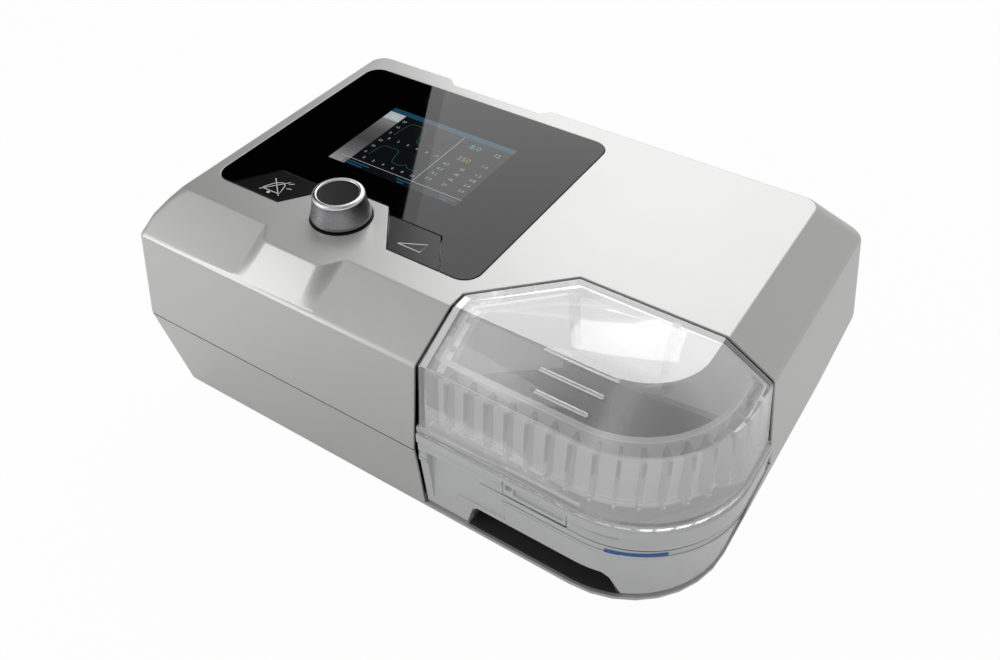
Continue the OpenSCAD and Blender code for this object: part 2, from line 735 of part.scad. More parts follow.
module blower_cover() {
    color([0.3, 0.31, 0.33]) translate([blower_x, blower_y, 0]) difference() {
        union() {
            translate([0, 0, scroll_top]) linear_extrude(cover_t) scroll(2);
            translate([0, 0, scroll_top]) cylinder(r = inlet_r + 2, h = inlet_z0 - scroll_top, $fn = 64);
        }
        cylinder(r = inlet_r, h = far, $fn = 64);
    }
}

module blower_mounts() {
    color([0.16, 0.16, 0.17]) for (sx = [-1, 1]) {
        for (sy = [-1, 1]) {
            translate([blower_x + sx*15, blower_y + sy*15, floor_z]) rotate_extrude($fn = 48)
                polygon([[0, 0], [4.5, 0], [4.5, 1.5], [3, 2.5], [3, blow_z - floor_z - 2.5],
                    [4.5, blow_z - floor_z - 1.5], [4.5, blow_z - floor_z], [0, blow_z - floor_z]]);
        }
    }
}

motor_h = 9;

module motor_stator() {
    color([0.6, 0.45, 0.3]) difference() {
        pipe_z(blower_x, blower_y, 14, scroll_z, scroll_z + motor_h, 64);
        pipe_z(blower_x, blower_y, 8.4, scroll_z + 1, scroll_z + motor_h - 1.8, 64);
        pipe_z(blower_x, blower_y, 2 + run_gap, scroll_z + 1, far, 64);
    }
}

module motor_rotor() {
    color([0.75, 0.75, 0.76]) {
        pipe_z(blower_x, blower_y, 8, scroll_z + 1.4, scroll_z + motor_h - 2.2, 64);
        pipe_z(blower_x, blower_y, 2, scroll_z + 1.2, scroll_z + motor_h + 10, 64);
    }
}

// Backward curved blades between a back plate and a hub
module impeller() {
    z0 = scroll_z + motor_h + 0.8;
    zb = scroll_top - z0 - 2;
    color([0.9, 0.9, 0.88]) translate([blower_x, blower_y, z0]) difference() {
        union() {
            cylinder(r = fan_r, h = 1.4, $fn = 96);
            cylinder(r = 6, h = 7, $fn = 48);
            for (i = [0:fan_blades - 1]) rotate([0, 0, i*360/fan_blades]) translate([0, 0, 1])
                linear_extrude(zb - 1) polygon([for (j = [0:8]) let (r = 11 + (fan_r - 11.2)*j/8, a = -j*6)
                    [r*cos(a), r*sin(a)], for (j = [8:-1:0]) let (r = 11 + (fan_r - 11.2)*j/8, a = -j*6)
                    [r*cos(a) + 0.25, r*sin(a) + 1.1]]);
        }
        translate([0, 0, -1]) cylinder(r = 2, h = far, $fn = 64);
    }
}

// Silicone elbow from the blower up to the chamber's inlet
module blower_boot() {
    color([0.2, 0.22, 0.24]) difference() {
        union() {
            pipe_z(boot_x, boot_y, duct_r, out_z - duct_r, port_z + duct_r);
            pipe_y(boot_x, out_z, duct_r, boot_y, boot_y + duct_r + 0.5);
            pipe_y(boot_x, port_z, duct_r, ring_y, boot_y);
        }
        pipe_z(boot_x, boot_y, duct_bore, out_z - duct_bore, port_z + duct_bore);
        pipe_y(boot_x, out_z, duct_bore, boot_y, boot_y + duct_r + 1);
        pipe_y(boot_x, port_z, duct_bore, ring_y - 1, boot_y);
    }
}

// Inlet muffler: a lined box between the filter and the blower's inlet duct
muff_x0 = filter_x - filter_w/2 - 14.5;
muff_x1 = filter_x + filter_w/2 + 10.5;
muff_y0 = 1;
muff_y1 = filter_floor - wall - 0.3;
muff_z0 = 34;
muff_z1 = board_z - 1;
duct_y = blower_y;
duct_z = inlet_z0;
muff_in = 9;
muffler_posts = [[muff_x0 + muff_in, muff_y0 + muff_in], [muff_x0 + muff_in, muff_y1 - muff_in],
    [muff_x1 - muff_in, muff_y0 + muff_in], [muff_x1 - muff_in, muff_y1 - muff_in]];
lane = 18;

module inlet_muffler() {
    color([0.35, 0.36, 0.38]) difference() {
        box([muff_x0, muff_y0, muff_z0], [muff_x1, muff_y1, muff_z1]);
        box([muff_x0 + 2, muff_y0 + 2, muff_z0 + 2], [muff_x1 - 2, muff_y1 - 2, muff_z1 - 2]);
        box([filter_x - filter_w/2 + 3, muff_y1 - 3, filter_z0 + 2],
            [filter_x + filter_w/2 - 3, muff_y1 + 1, muff_z1 - 3]);
        box([muff_x1 - 3, duct_y - inlet_d/2 + 2, duct_z + 2],
            [muff_x1 + 1, duct_y + inlet_d/2 - 2, duct_z + inlet_h - 2]);
    }
}

module muffler_foam() {
    color([0.25, 0.25, 0.26]) difference() {
        box([muff_x0 + 2.3, muff_y0 + 2.3, muff_z0 + 2.3], [muff_x1 - 2.3, muff_y1 - foam_t - 3, muff_z1 - 2.3]);
        box([filter_x - lane, muff_y0 + lane, duct_z - 5], [filter_x + lane, far, duct_z + inlet_h + 3]);
        box([filter_x, duct_y - inlet_d/2 + 3, duct_z + 3], [far, duct_y + inlet_d/2 - 3, duct_z + inlet_h - 3]);
    }
}

module inlet_duct() {
    x1 = blower_x + inlet_r + 4;
    color([0.3, 0.31, 0.33]) difference() {
        box([muff_x1, duct_y - inlet_d/2, duct_z], [x1, duct_y + inlet_d/2, duct_z + inlet_h]);
        box([muff_x1 - 1, duct_y - inlet_d/2 + 2, duct_z + 2], [x1 - 2, duct_y + inlet_d/2 - 2, duct_z + inlet_h - 2]);
        pipe_z(blower_x, blower_y, inlet_r - 2.2, duct_z - 1, duct_z + 3);
    }
}

module air_duct() {
    color([0.35, 0.36, 0.38]) difference() {
        pipe_y(port_x, port_z, duct_r, ring_y, pocket_y - wall - 2.4);
        pipe_y(port_x, port_z, duct_bore, ring_y - 1, pocket_y);
    }
}

module pressure_sensor() {
    color([0.1, 0.1, 0.12]) difference() {
        box([port_x - 7, 8, port_z + 4], [port_x + 7, 30, port_z + duct_r + 5]);
        pipe_y(port_x, port_z, duct_r + 0.05, 0, 40);
    }
}

module outlet_port() {
    y0 = pocket_y - wall - 2.4;
    y1 = case_d/2 - 3.4;
    color([0.5, 0.51, 0.52]) difference() {
        union() {
            pipe_y(port_x, port_z, port_r, y0, y1);
            pipe_y(port_x, port_z, port_r + 0.6, y0, pocket_y);
            pipe_y(port_x, port_z, port_r + 2.5, y0, pocket_y - wall);
        }
        pipe_y(port_x, port_z, port_bore, y0 + 2.4, far);
        pipe_y(port_x, port_z, duct_bore, y0 - 1, far);
    }
}

module filter_cover() {
    w = filter_w - 1;
    color([0.62, 0.62, 0.61]) difference() {
        union() {
            box([filter_x - w/2, filter_floor + 0.1, filter_z0], [filter_x + w/2, filter_floor + 3, filter_z1]);
            box([filter_x - filter_w/2 + 4.3, filter_floor - wall, filter_z0 + 3.3],
                [filter_x + filter_w/2 - 4.3, filter_floor + 1, filter_z1 - 3.3]);
        }
        box([filter_x - filter_w/2 + 6.3, filter_floor - wall - 1, filter_z0 + 5.3],
            [filter_x + filter_w/2 - 6.3, filter_floor + 1, filter_z1 - 5.3]);
        for (i = [0:filter_slots - 1]) {
            z = filter_z0 + 7 + i*(filter_h - 16.4)/(filter_slots - 1);
            box([filter_x - w/2 + 8, filter_floor - 5, z], [filter_x + w/2 - 8, far, z + 2.4]);
        }
        // Thumb scoop at the upper edge
        translate([filter_x, filter_floor + 7, filter_z1 + 2]) sphere(r = 8, $fn = 48);
    }
}

module air_filter() {
    color([0.93, 0.93, 0.9]) box([filter_x - filter_w/2 + 2.3, muff_y1 - 2.5 - foam_t, filter_z0 + 1],
        [filter_x + filter_w/2 - 2.3, muff_y1 - 2.3, muff_z1 - 2.3]);
}

// Plan of the chamber: left and rear sides follow the bay, the front right corner is round
module chamber_plan(xr, yf, r, g = 0) {
    h = bay_gap + g;
    x0 = bay_x + h;
    y1 = bay_y - h;
    c = bay_cut - (2 - sqrt(2))*h;
    polygon([[x0, yf], [xr - r, yf], [xr - r*0.4, yf + r*0.4], [xr, yf + r], [xr, y1], [x0 + c, y1],
        [x0, y1 - c]]);
    intersection() {
        translate([xr - r, yf + r]) circle(r = r, $fn = 96);
        translate([xr - r, yf]) square([r, r]);
    }
}

module plan_slice(z, xr, yf, r, g = 0, h = e) {
    translate([0, 0, z]) linear_extrude(h) chamber_plan(xr, yf, r, g);
}

// Faces of the chamber at a height z, a little inside the case's own faces
function ch_r(z) = (z < seam_z ? mix(0, low_t(z)) : mix(1, up_t(z)))[1] - 0.9;
function ch_f(z) = (z < seam_z ? mix(0, low_t(z)) : mix(1, up_t(z)))[2] + 1.4;
tub_z = tray_z + 0.3;
rim_z = lid_z - seal_h;
ring_z = rim_z - ring_h;
base_z = dock_z + 0.6;
cav_z = base_z + 2.3;

module tub_outer() {
    hull() {
        plan_slice(tub_z, ch_r(tub_z) - 1, ch_f(tub_z) + 0.8, round_r - 2);
        plan_slice(tub_z + 1.5, ch_r(tub_z), ch_f(tub_z) - 0.2, round_r - 1);
        plan_slice(40, ch_r(40), ch_f(40), round_r);
    }
    plan_slice(40, ch_r(40) + 0.5, ch_f(40) - 0.6, round_r, 0, 2.6);
    plan_slice(42, ch_r(42) + 0.2, ch_f(42) - 0.2, round_r, 0, 3);
    plan_slice(44.4, ch_r(44) - 0.7, ch_f(44) + 0.7, round_r, 0, 2);
    plan_slice(46, ch_r(46), ch_f(46), round_r, 0, rim_z - 46);
    plan_slice(ring_z, case_w/2 - 1.2, -case_d/2 + 0.8, round_r + 2, 0, ring_h);
}

grip_z = tray_z + grip_h;
grip_y = -case_d/2 + 6 + grip_d;

module grip_shape(g) {
    translate([0, grip_y + g, 0]) rotate([90, 0, 0]) linear_extrude(far)
        polygon([[37 - g, -g], [37 - g, 8], [40.5 - g, grip_z - 2.5 + g*0.5], [43 - g*0.5, grip_z + g],
            [101 + g*0.5, grip_z + g], [104 + g, grip_z - 3 + g*0.5], [109 + g, 6], [109 + g, -g]]);
}

latch_x0 = 57;
latch_x1 = 86;
latch_z0 = 46.6;
latch_y = -case_d/2 + 7.6;

// The tub with its foot, which stands round the heater dock
module tub_solid() {
    difference() {
        tub_outer();
        difference() {
            hull() {
                plan_slice(cav_z, ch_r(cav_z) - clear_t - 1.5, ch_f(cav_z) + clear_t + 1.5, round_r - 4, clear_t);
                plan_slice(cav_z + 3, ch_r(cav_z) - clear_t, ch_f(cav_z) + clear_t, round_r - 3, clear_t);
                plan_slice(lid_z, ch_r(lid_z) - clear_t - 0.2, ch_f(lid_z) + clear_t + 0.2, round_r - 2, clear_t);
            }
            grip_shape(clear_t);
            box([latch_x0 - clear_t, -far, latch_z0 - 3], [latch_x1 + clear_t, latch_y + clear_t, far]);
        }
        grip_shape(0);
        // Channel that clears the heater dock when the chamber slides in
        box([heater_x - dock_w/2 - 1.5, dock_y0 - 1.5, 0], [heater_x + dock_w/2 + 1.5, far, base_z]);
        // Opening for the metal base plate
        round_box(heater_x, heater_y, heater_w - 6, heater_d - 6, 5, base_z - 1, cav_z + 1);
        box([latch_x0, -far, latch_z0], [latch_x1, latch_y, rim_z - 2]);
        // Sunken field to the left of the finger recess
        box([20, -far, 10], [33, ch_f(28) + 1.6, seam_z]);
        box([33, -far, grip_z + 3], [46, ch_f(28) + 1.6, seam_z]);
        box([46, -far, grip_z + 3], [latch_x0, ch_f(28) + 1.6, seam_z - 4]);
    }
}

module chamber_tub() {
    color(clear) difference() {
        tub_solid();
        box([-far, -far, 0], [far, far, base_z]);
    }
}

module tub_foot() {
    color(clear) difference() {
        tub_solid();
        box([-far, -far, base_z], [far, far, far]);
    }
}

module chamber_base_plate() {
    color([0.76, 0.76, 0.77]) {
        round_box(heater_x, heater_y, heater_w - 6.2, heater_d - 6.2, 4.9, base_z, cav_z + 0.2);
        round_box(heater_x, heater_y, heater_w - 2, heater_d - 2, 6, cav_z, cav_z + 0.8);
    }
}

// Black insert that lines the finger recess
module grip_insert() {
    color(dark) difference() {
        intersection() {
            grip_shape(-0.1);
            box([0, -case_d/2 + 9.6, tub_z], [case_w/2, 0, far]);
        }
        translate([0, -1.4, 0]) grip_shape(-1.5);
        box([0, -far, 0], [case_w, grip_y - 1.6, 8]);
    }
}

module lid_seal() {
    color([0.35, 0.36, 0.38]) difference() {
        plan_slice(rim_z, case_w/2 - 3.4, -case_d/2 + 3, round_r, 0.4, seal_h);
        plan_slice(rim_z - 1, case_w/2 - 5.4, -case_d/2 + 5, round_r - 2, 2.4, seal_h + 2);
    }
}

module lid_outer(g = 0) {
    hull() {
        plan_slice(lid_z, ch_r(lid_z) - g, ch_f(lid_z) + g, round_r - g, g);
        plan_slice(shoulder_z - 0.6 - g*0.6, ch_r(shoulder_z) + 0.7 - g, ch_f(shoulder_z) - 1 + g, 50 - g, g);
        plan_slice(shoulder_z + 0.5 - g*0.6, ch_r(shoulder_z) + 0.2 - g, ch_f(shoulder_z) - 0.2 + g, 50 - g, g);
        plan_slice(top_z - e - g, top_r - 0.4 - g*0.3, top_f + 0.4 + g*0.3, 28 - g*0.3, g);
    }
}

skirt_f = ch_f(shoulder_z) - 1 + skirt_in;
skirt_r = ch_r(shoulder_z) + 0.7 - skirt_in;
rib_z = lid_z + flange_h + 1.5;
rib_n = floor((skirt_r - 50 + skirt_in - bay_x - 12)/rib_pitch);
arc_n = floor(90/(rib_pitch*1.16));

// Inner skirt with the ribs that tie it to the outer wall, open at the rear
module lid_ribs() {
    arc_c = [skirt_r - 50 + skirt_in, skirt_f + 50 - skirt_in];
    difference() {
        plan_slice(rib_z, skirt_r, skirt_f, 50 - skirt_in, skirt_in - 1, far);
        plan_slice(rib_z - 1, skirt_r - rib_t, skirt_f + rib_t, 50 - skirt_in - rib_t, skirt_in - 1 + rib_t, far + 2);
        box([0, bay_y - bay_gap - skirt_in - 2, 0], [arc_c[0] + 30, 0, far]);
    }
    for (i = [0:rib_n]) box([arc_c[0] - i*rib_pitch - rib_t, skirt_f - skirt_in - 2, rib_z],
        [arc_c[0] - i*rib_pitch, skirt_f + rib_t/2, far]);
    for (i = [1:arc_n]) translate([arc_c[0], arc_c[1], rib_z]) rotate([0, 0, -90 + i*90/(arc_n + 0.6)])
        translate([50 - skirt_in - rib_t/2, -rib_t/2, 0]) cube([skirt_in + 3, rib_t, far]);
    for (i = [0:1]) box([skirt_r - rib_t/2, arc_c[1] + 4 + i*rib_pitch, rib_z],
        [far, arc_c[1] + 4 + i*rib_pitch + rib_t, far]);
    for (i = [0:2]) box([bay_x, skirt_f + 4 + i*rib_pitch, rib_z],
        [bay_x + skirt_in + rib_t/2, skirt_f + 4 + i*rib_pitch + rib_t, far]);
    for (i = [0:2]) translate([bay_x + 4 + i*rib_pitch*0.8, bay_y - bay_cut + 4 + i*rib_pitch*0.8, rib_z])
        rotate([0, 0, -45]) translate([-4, 0, 0]) cube([skirt_in + 4.6, rib_t, far]);
}

// Frame of the air window on the lid's rear wall
module lid_frame() {
    y1 = bay_y - bay_gap - 1;
    for (x = [port_x - 24.5, port_x + 21.3]) box([x, y1 - 3.4, rib_z], [x + 3.2, y1, far]);
    box([port_x - 24.5, y1 - 3.4, rib_z - 1], [port_x + 24.5, y1, rib_z + 2.2]);
}

slope = atan((top_z - shoulder_z)/bevel_f);

module grip_bars() {
    for (b = [[58, 88, 0.4], [60, 85.5, 8.4], [62.5, 83.5, 16.8]]) {
        translate([b[0], top_f, top_z]) rotate([slope, 0, 0]) translate([0, -b[2], -0.8]) {
            translate([0, -1, 0]) cube([b[1] - b[0], 2, 2]);
            for (x = [0, b[1] - b[0]]) translate([x, 0, 0]) cylinder(r = 1, h = 2, $fn = 32);
        }
    }
}

module chamber_lid() {
    color(clear) difference() {
        union() {
            difference() {
                union() {
                    lid_outer();
                    plan_slice(lid_z + 0.3, case_w/2 - 1.4, -case_d/2 + 1, round_r + 2, 0, flange_h - 0.3);
                }
                lid_outer(clear_t);
            }
            intersection() {
                union() {
                    lid_ribs();
                    lid_frame();
                }
                lid_outer(0.6);
            }
            grip_bars();
        }
        box([0, -far, 0], [case_w, 0, lid_z + 0.02]);
        round_slab(port_x, gasket_z, gasket_w - 6, gasket_h - 6, 4, bay_y - bay_gap - 5, 0);
        pipe_y(boot_x, port_z, duct_bore + 0.5, bay_y - bay_gap - 5, 0);
    }
}

module lid_latch() {
    y1 = latch_y - latch_travel - 0.4;
    color([0.8, 0.82, 0.83, 0.6]) difference() {
        box([latch_x0 + 0.3, -case_d/2 + 1.4, latch_z0 + 0.3], [latch_x1 - 0.3, y1, rim_z - 2.3]);
        box([latch_x0 + 5, -far, latch_z0 + 2], [latch_x1 - 1.6, -case_d/2 + 2.8, rim_z - 3.8]);
        box([latch_x0 + 1.3, -far, latch_z0 + 3.4], [latch_x0 + 4.2, -case_d/2 + 3.6, rim_z - 3.8]);
    }
}

module rubber_feet() {
    color([0.12, 0.12, 0.12]) for (p = foot_pts) translate([p[0], p[1], 0]) rotate_extrude($fn = 64)
        polygon([[0, 0], [foot_r - 0.8, 0], [foot_r, 0.8], [foot_r, foot_h], [0, foot_h]]);
}

module case_screws() {
    color([0.75, 0.75, 0.76]) for (p = boss_pts) translate([p[0], p[1], 0]) difference() {
        union() {
            translate([0, 0, head_z - 2.4]) cylinder(r = 2.9, h = 2.4, $fn = 48);
            translate([0, 0, head_z - 0.1]) cylinder(r = screw_r, h = seam_z + 9 - head_z, $fn = 48);
        }
        for (a = [0, 90]) rotate([0, 0, a]) translate([-1.6, -0.4, head_z - 3]) cube([3.2, 0.8, 1.8]);
    }
}

top_case();
bay_wall_left();
bay_wall_corner();
bay_wall_rear();
bottom_case();
display_lens();
lcd_module();
display_board();
encoder_body();
knob_collar();
knob_plunger();
knob_shell();
knob_cap();
knob_shaft();
mute_key();
ramp_key();
key_switches();
main_board();
alarm_sounder();
card_socket();
memory_card();
power_socket();
dock_liner();
heater_plate();
heater_springs();
dock_gaskets();
blower_housing();
blower_cover();
blower_mounts();
motor_stator();
motor_rotor();
impeller();
blower_boot();
inlet_muffler();
muffler_foam();
inlet_duct();
air_duct();
pressure_sensor();
outlet_port();
filter_cover();
air_filter();
chamber_tub();
tub_foot();
chamber_base_plate();
grip_insert();
lid_seal();
chamber_lid();
lid_latch();
rubber_feet();
case_screws();
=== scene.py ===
"""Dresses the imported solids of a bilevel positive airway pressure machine.

The case, the tub, the glass and the keys keep the shapes of their solids: a merged copy of
each gets rounded edges, and the case's step under the knob is blended into its slope. The
lid, the knob, the springs and the small marks are surfaces worked out with numpy: outlines
stacked at several heights, a profile turned about an axis, a section carried along a path,
or flat marks laid on a face. The classes hold millimetres, the studio holds metres, and
each mesh is built in metres. +Z is up, and the machine's front looks along -Y.
"""

import json
import logging
import math
from dataclasses import dataclass, field
from enum import Enum
from typing import Any, Dict, List, Optional, Sequence, Tuple

import bmesh
import bpy
import numpy as np
from mathutils import Matrix, Vector

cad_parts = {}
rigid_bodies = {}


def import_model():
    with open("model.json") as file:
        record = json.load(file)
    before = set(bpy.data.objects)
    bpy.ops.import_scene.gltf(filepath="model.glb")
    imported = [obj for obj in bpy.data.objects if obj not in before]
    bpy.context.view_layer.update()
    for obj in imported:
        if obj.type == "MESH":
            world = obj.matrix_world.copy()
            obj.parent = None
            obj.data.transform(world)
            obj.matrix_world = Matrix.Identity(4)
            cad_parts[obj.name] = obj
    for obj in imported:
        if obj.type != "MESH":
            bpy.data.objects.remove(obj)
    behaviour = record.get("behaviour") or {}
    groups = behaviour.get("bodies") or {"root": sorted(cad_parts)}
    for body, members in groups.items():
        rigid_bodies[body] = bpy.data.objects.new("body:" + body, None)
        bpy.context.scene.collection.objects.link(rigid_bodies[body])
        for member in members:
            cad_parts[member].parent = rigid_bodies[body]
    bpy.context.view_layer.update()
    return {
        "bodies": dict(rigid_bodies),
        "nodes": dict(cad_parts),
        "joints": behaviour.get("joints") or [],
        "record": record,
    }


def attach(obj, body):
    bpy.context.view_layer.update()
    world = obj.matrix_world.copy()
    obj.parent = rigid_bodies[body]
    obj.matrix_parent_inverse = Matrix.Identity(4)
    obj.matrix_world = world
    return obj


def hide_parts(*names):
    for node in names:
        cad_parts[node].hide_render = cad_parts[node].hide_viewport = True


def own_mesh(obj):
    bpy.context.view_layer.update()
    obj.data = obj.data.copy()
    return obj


LOG = logging.getLogger("pap_machine")
MM = 0.001
WELD = 1e-7
QUARTER = math.pi / 2
Array = np.ndarray
Colour = Tuple[float, float, float]
Place = Tuple[float, float, float]
Solid = Tuple[Array, List[Array]]


class Nodes:
    """A node tree and the short ways to fill it."""

    def __init__(self, tree: bpy.types.NodeTree) -> None:
        """Takes the tree to fill."""
        self.tree = tree

    def fill(self, node: bpy.types.Node, values: Dict[Any, Any]) -> bpy.types.Node:
        """Sets or joins a node's inputs.

        Args:
            node: the node.
            values: for each input, by name or number, its value or the socket that feeds it.

        Returns:
            The node.
        """
        for key, value in values.items():
            if isinstance(value, bpy.types.NodeSocket):
                self.tree.links.new(value, node.inputs[key])
            else:
                node.inputs[key].default_value = value
        return node

    def add(self, kind: str, values: Optional[Dict[Any, Any]] = None, **settings: Any) -> bpy.types.Node:
        """Adds a shader node.

        Args:
            kind: its type, without the words in front.
            values: its inputs, as fill takes them.
            settings: its own settings.

        Returns:
            The node.
        """
        node = self.tree.nodes.new(f"ShaderNode{kind}")
        for name, value in settings.items():
            setattr(node, name, value)
        return self.fill(node, values or {})

    def math(self, operation: str, *values: Any) -> bpy.types.NodeSocket:
        """Adds a math node on values or sockets and gives its result."""
        return self.add("Math", dict(enumerate(values)), operation=operation).outputs[0]


class Grain(Enum):
    """The fine relief that a finish carries."""

    PAINT = "paint"
    MOULDED = "moulded"
    BRUSHED = "brushed"
    GLASS = "glass"
    CLEAR = "clear"
    FOAM = "foam"
    RUBBER = "rubber"
    BOARD = "board"


@dataclass(frozen=True)
class GrainValues:
    """Scale of the grain per metre, relief in metres, spread of gloss and of tone, and stretch."""

    scale: float
    height: float
    spread: float
    tone: float
    stretch: Tuple[float, float, float] = (1, 1, 1)


GRAINS: Dict[Grain, GrainValues] = {
    Grain.PAINT: GrainValues(5200.0, 0.000012, 0.05, 0.03),
    Grain.MOULDED: GrainValues(3200.0, 0.00002, 0.08, 0.05),
    Grain.BRUSHED: GrainValues(900.0, 0.00001, 0.1, 0.05, (1, 1, 14)),
    Grain.GLASS: GrainValues(60.0, 0.0, 0.03, 0.0),
    Grain.CLEAR: GrainValues(40.0, 0.0, 0.01, 0.0),
    Grain.FOAM: GrainValues(1400.0, 0.0003, 0.05, 0.35),
    Grain.RUBBER: GrainValues(2400.0, 0.00003, 0.1, 0.08),
    Grain.BOARD: GrainValues(700.0, 0.00001, 0.12, 0.2),
}


class Effects:
    """Shader node groups that several finishes share."""

    SOCKETS = (("Vector", "INPUT", "Vector"), ("Scale", "INPUT", "Float"), ("Gloss", "INPUT", "Float"),
               ("Spread", "INPUT", "Float"), ("Tone", "INPUT", "Float"), ("Colour", "INPUT", "Color"),
               ("Colour", "OUTPUT", "Color"), ("Roughness", "OUTPUT", "Float"), ("Height", "OUTPUT", "Float"))
    BROAD_SCALE = 38.0

    @staticmethod
    def grain() -> bpy.types.NodeTree:
        """Fine and broad noise that give a gloss value, a relief and a tinted colour.

        Gloss = Gloss + Spread n and colour = Colour (1 + Tone n), where n is the two noises' sum
        less 1. The relief is the fine noise alone.

        Returns:
            The group, with Vector, Scale, Gloss, Spread, Tone and Colour as inputs.
        """
        found = bpy.data.node_groups.get("fine_grain")
        if found:
            return found
        group = bpy.data.node_groups.new("fine_grain", "ShaderNodeTree")
        for name, way, kind in Effects.SOCKETS:
            group.interface.new_socket(name, in_out=way, socket_type=f"NodeSocket{kind}")
        tree = Nodes(group)
        given = group.nodes.new("NodeGroupInput").outputs
        noises = (tree.add("TexNoise", {"Vector": given["Vector"], "Scale": scale, "Detail": detail})
                  for scale, detail in ((given["Scale"], 3.0), (Effects.BROAD_SCALE, 2.0)))
        fine, broad = (noise.outputs["Fac"] for noise in noises)
        centred = tree.math("SUBTRACT", tree.math("ADD", fine, broad), 1.0)
        gloss = tree.math("MULTIPLY_ADD", centred, given["Spread"], given["Gloss"])
        tone = tree.math("MULTIPLY_ADD", centred, given["Tone"], 1.0)
        tint = tree.add("VectorMath", {0: given["Colour"], "Scale": tone}, operation="SCALE")
        tree.fill(group.nodes.new("NodeGroupOutput"),
                  {"Colour": tint.outputs[0], "Roughness": gloss, "Height": fine})
        return group


MADE: Dict[str, bpy.types.Material] = {}


@dataclass(frozen=True)
class Finish:
    """One finish of the machine: colour, gloss and grain."""

    name: str
    colour: Colour
    roughness: float = 0.45
    grain: Grain = Grain.MOULDED
    metallic: float = 0.0
    coat: float = 0.0
    transmission: float = 0.0
    alpha: float = 1.0
    ior: float = 1.5
    specular: float = 0.5
    sheen: float = 0.0
    coat_ior: float = 1.5
    coat_roughness: float = 0.02
    light_alpha: float = 1.0
    turned: float = 0.0

    def material(self) -> bpy.types.Material:
        """Builds the node material once.

        Returns:
            The material, shared by every piece with this finish.
        """
        if self.name in MADE:
            return MADE[self.name]
        made = MADE[self.name] = bpy.data.materials.new(f"{self.name}_finish")
        made.use_nodes = True
        made.diffuse_color = (*self.colour, 1.0)
        tree, values = Nodes(made.node_tree), GRAINS[self.grain]
        shader = made.node_tree.nodes["Principled BSDF"]
        place = tree.add("TexCoord").outputs["Object"]
        place = tree.add("Mapping", {"Vector": place, "Scale": values.stretch}).outputs["Vector"]
        grain = tree.add("Group", node_tree=Effects.grain())
        tree.fill(grain, {"Vector": place, "Scale": values.scale, "Gloss": self.roughness,
                          "Spread": values.spread, "Tone": values.tone, "Colour": (*self.colour, 1.0)})
        tree.fill(shader, {
            "Base Color": grain.outputs["Colour"], "Roughness": grain.outputs["Roughness"],
            "Alpha": self.alpha, "Metallic": self.metallic, "Transmission Weight": self.transmission,
            "IOR": self.ior, "Specular IOR Level": self.specular, "Sheen Weight": self.sheen,
            "Coat Weight": self.coat, "Coat IOR": self.coat_ior, "Coat Roughness": self.coat_roughness})
        if values.height > 0:
            bump = tree.add("Bump", {"Strength": 1.0, "Distance": values.height,
                                     "Height": grain.outputs["Height"]})
            tree.fill(shader, {"Normal": bump.outputs["Normal"]})
        if self.turned > 0:
            # Grooves round the vertical axis draw each highlight out along it
            ring = tree.add("Tangent", direction_type="RADIAL", axis="Z")
            tree.fill(shader, {"Anisotropic": self.turned, "Tangent": ring.outputs["Tangent"]})
        if self.light_alpha < self.alpha:
            # Light passes through to what is inside; the camera and the gloss see the surface
            path = tree.add("LightPath").outputs
            light = tree.math("MAXIMUM", path["Is Shadow Ray"], path["Is Diffuse Ray"])
            alpha = tree.math("MULTIPLY_ADD", light, self.light_alpha - self.alpha, self.alpha)
            tree.fill(shader, {"Alpha": alpha})
        return made


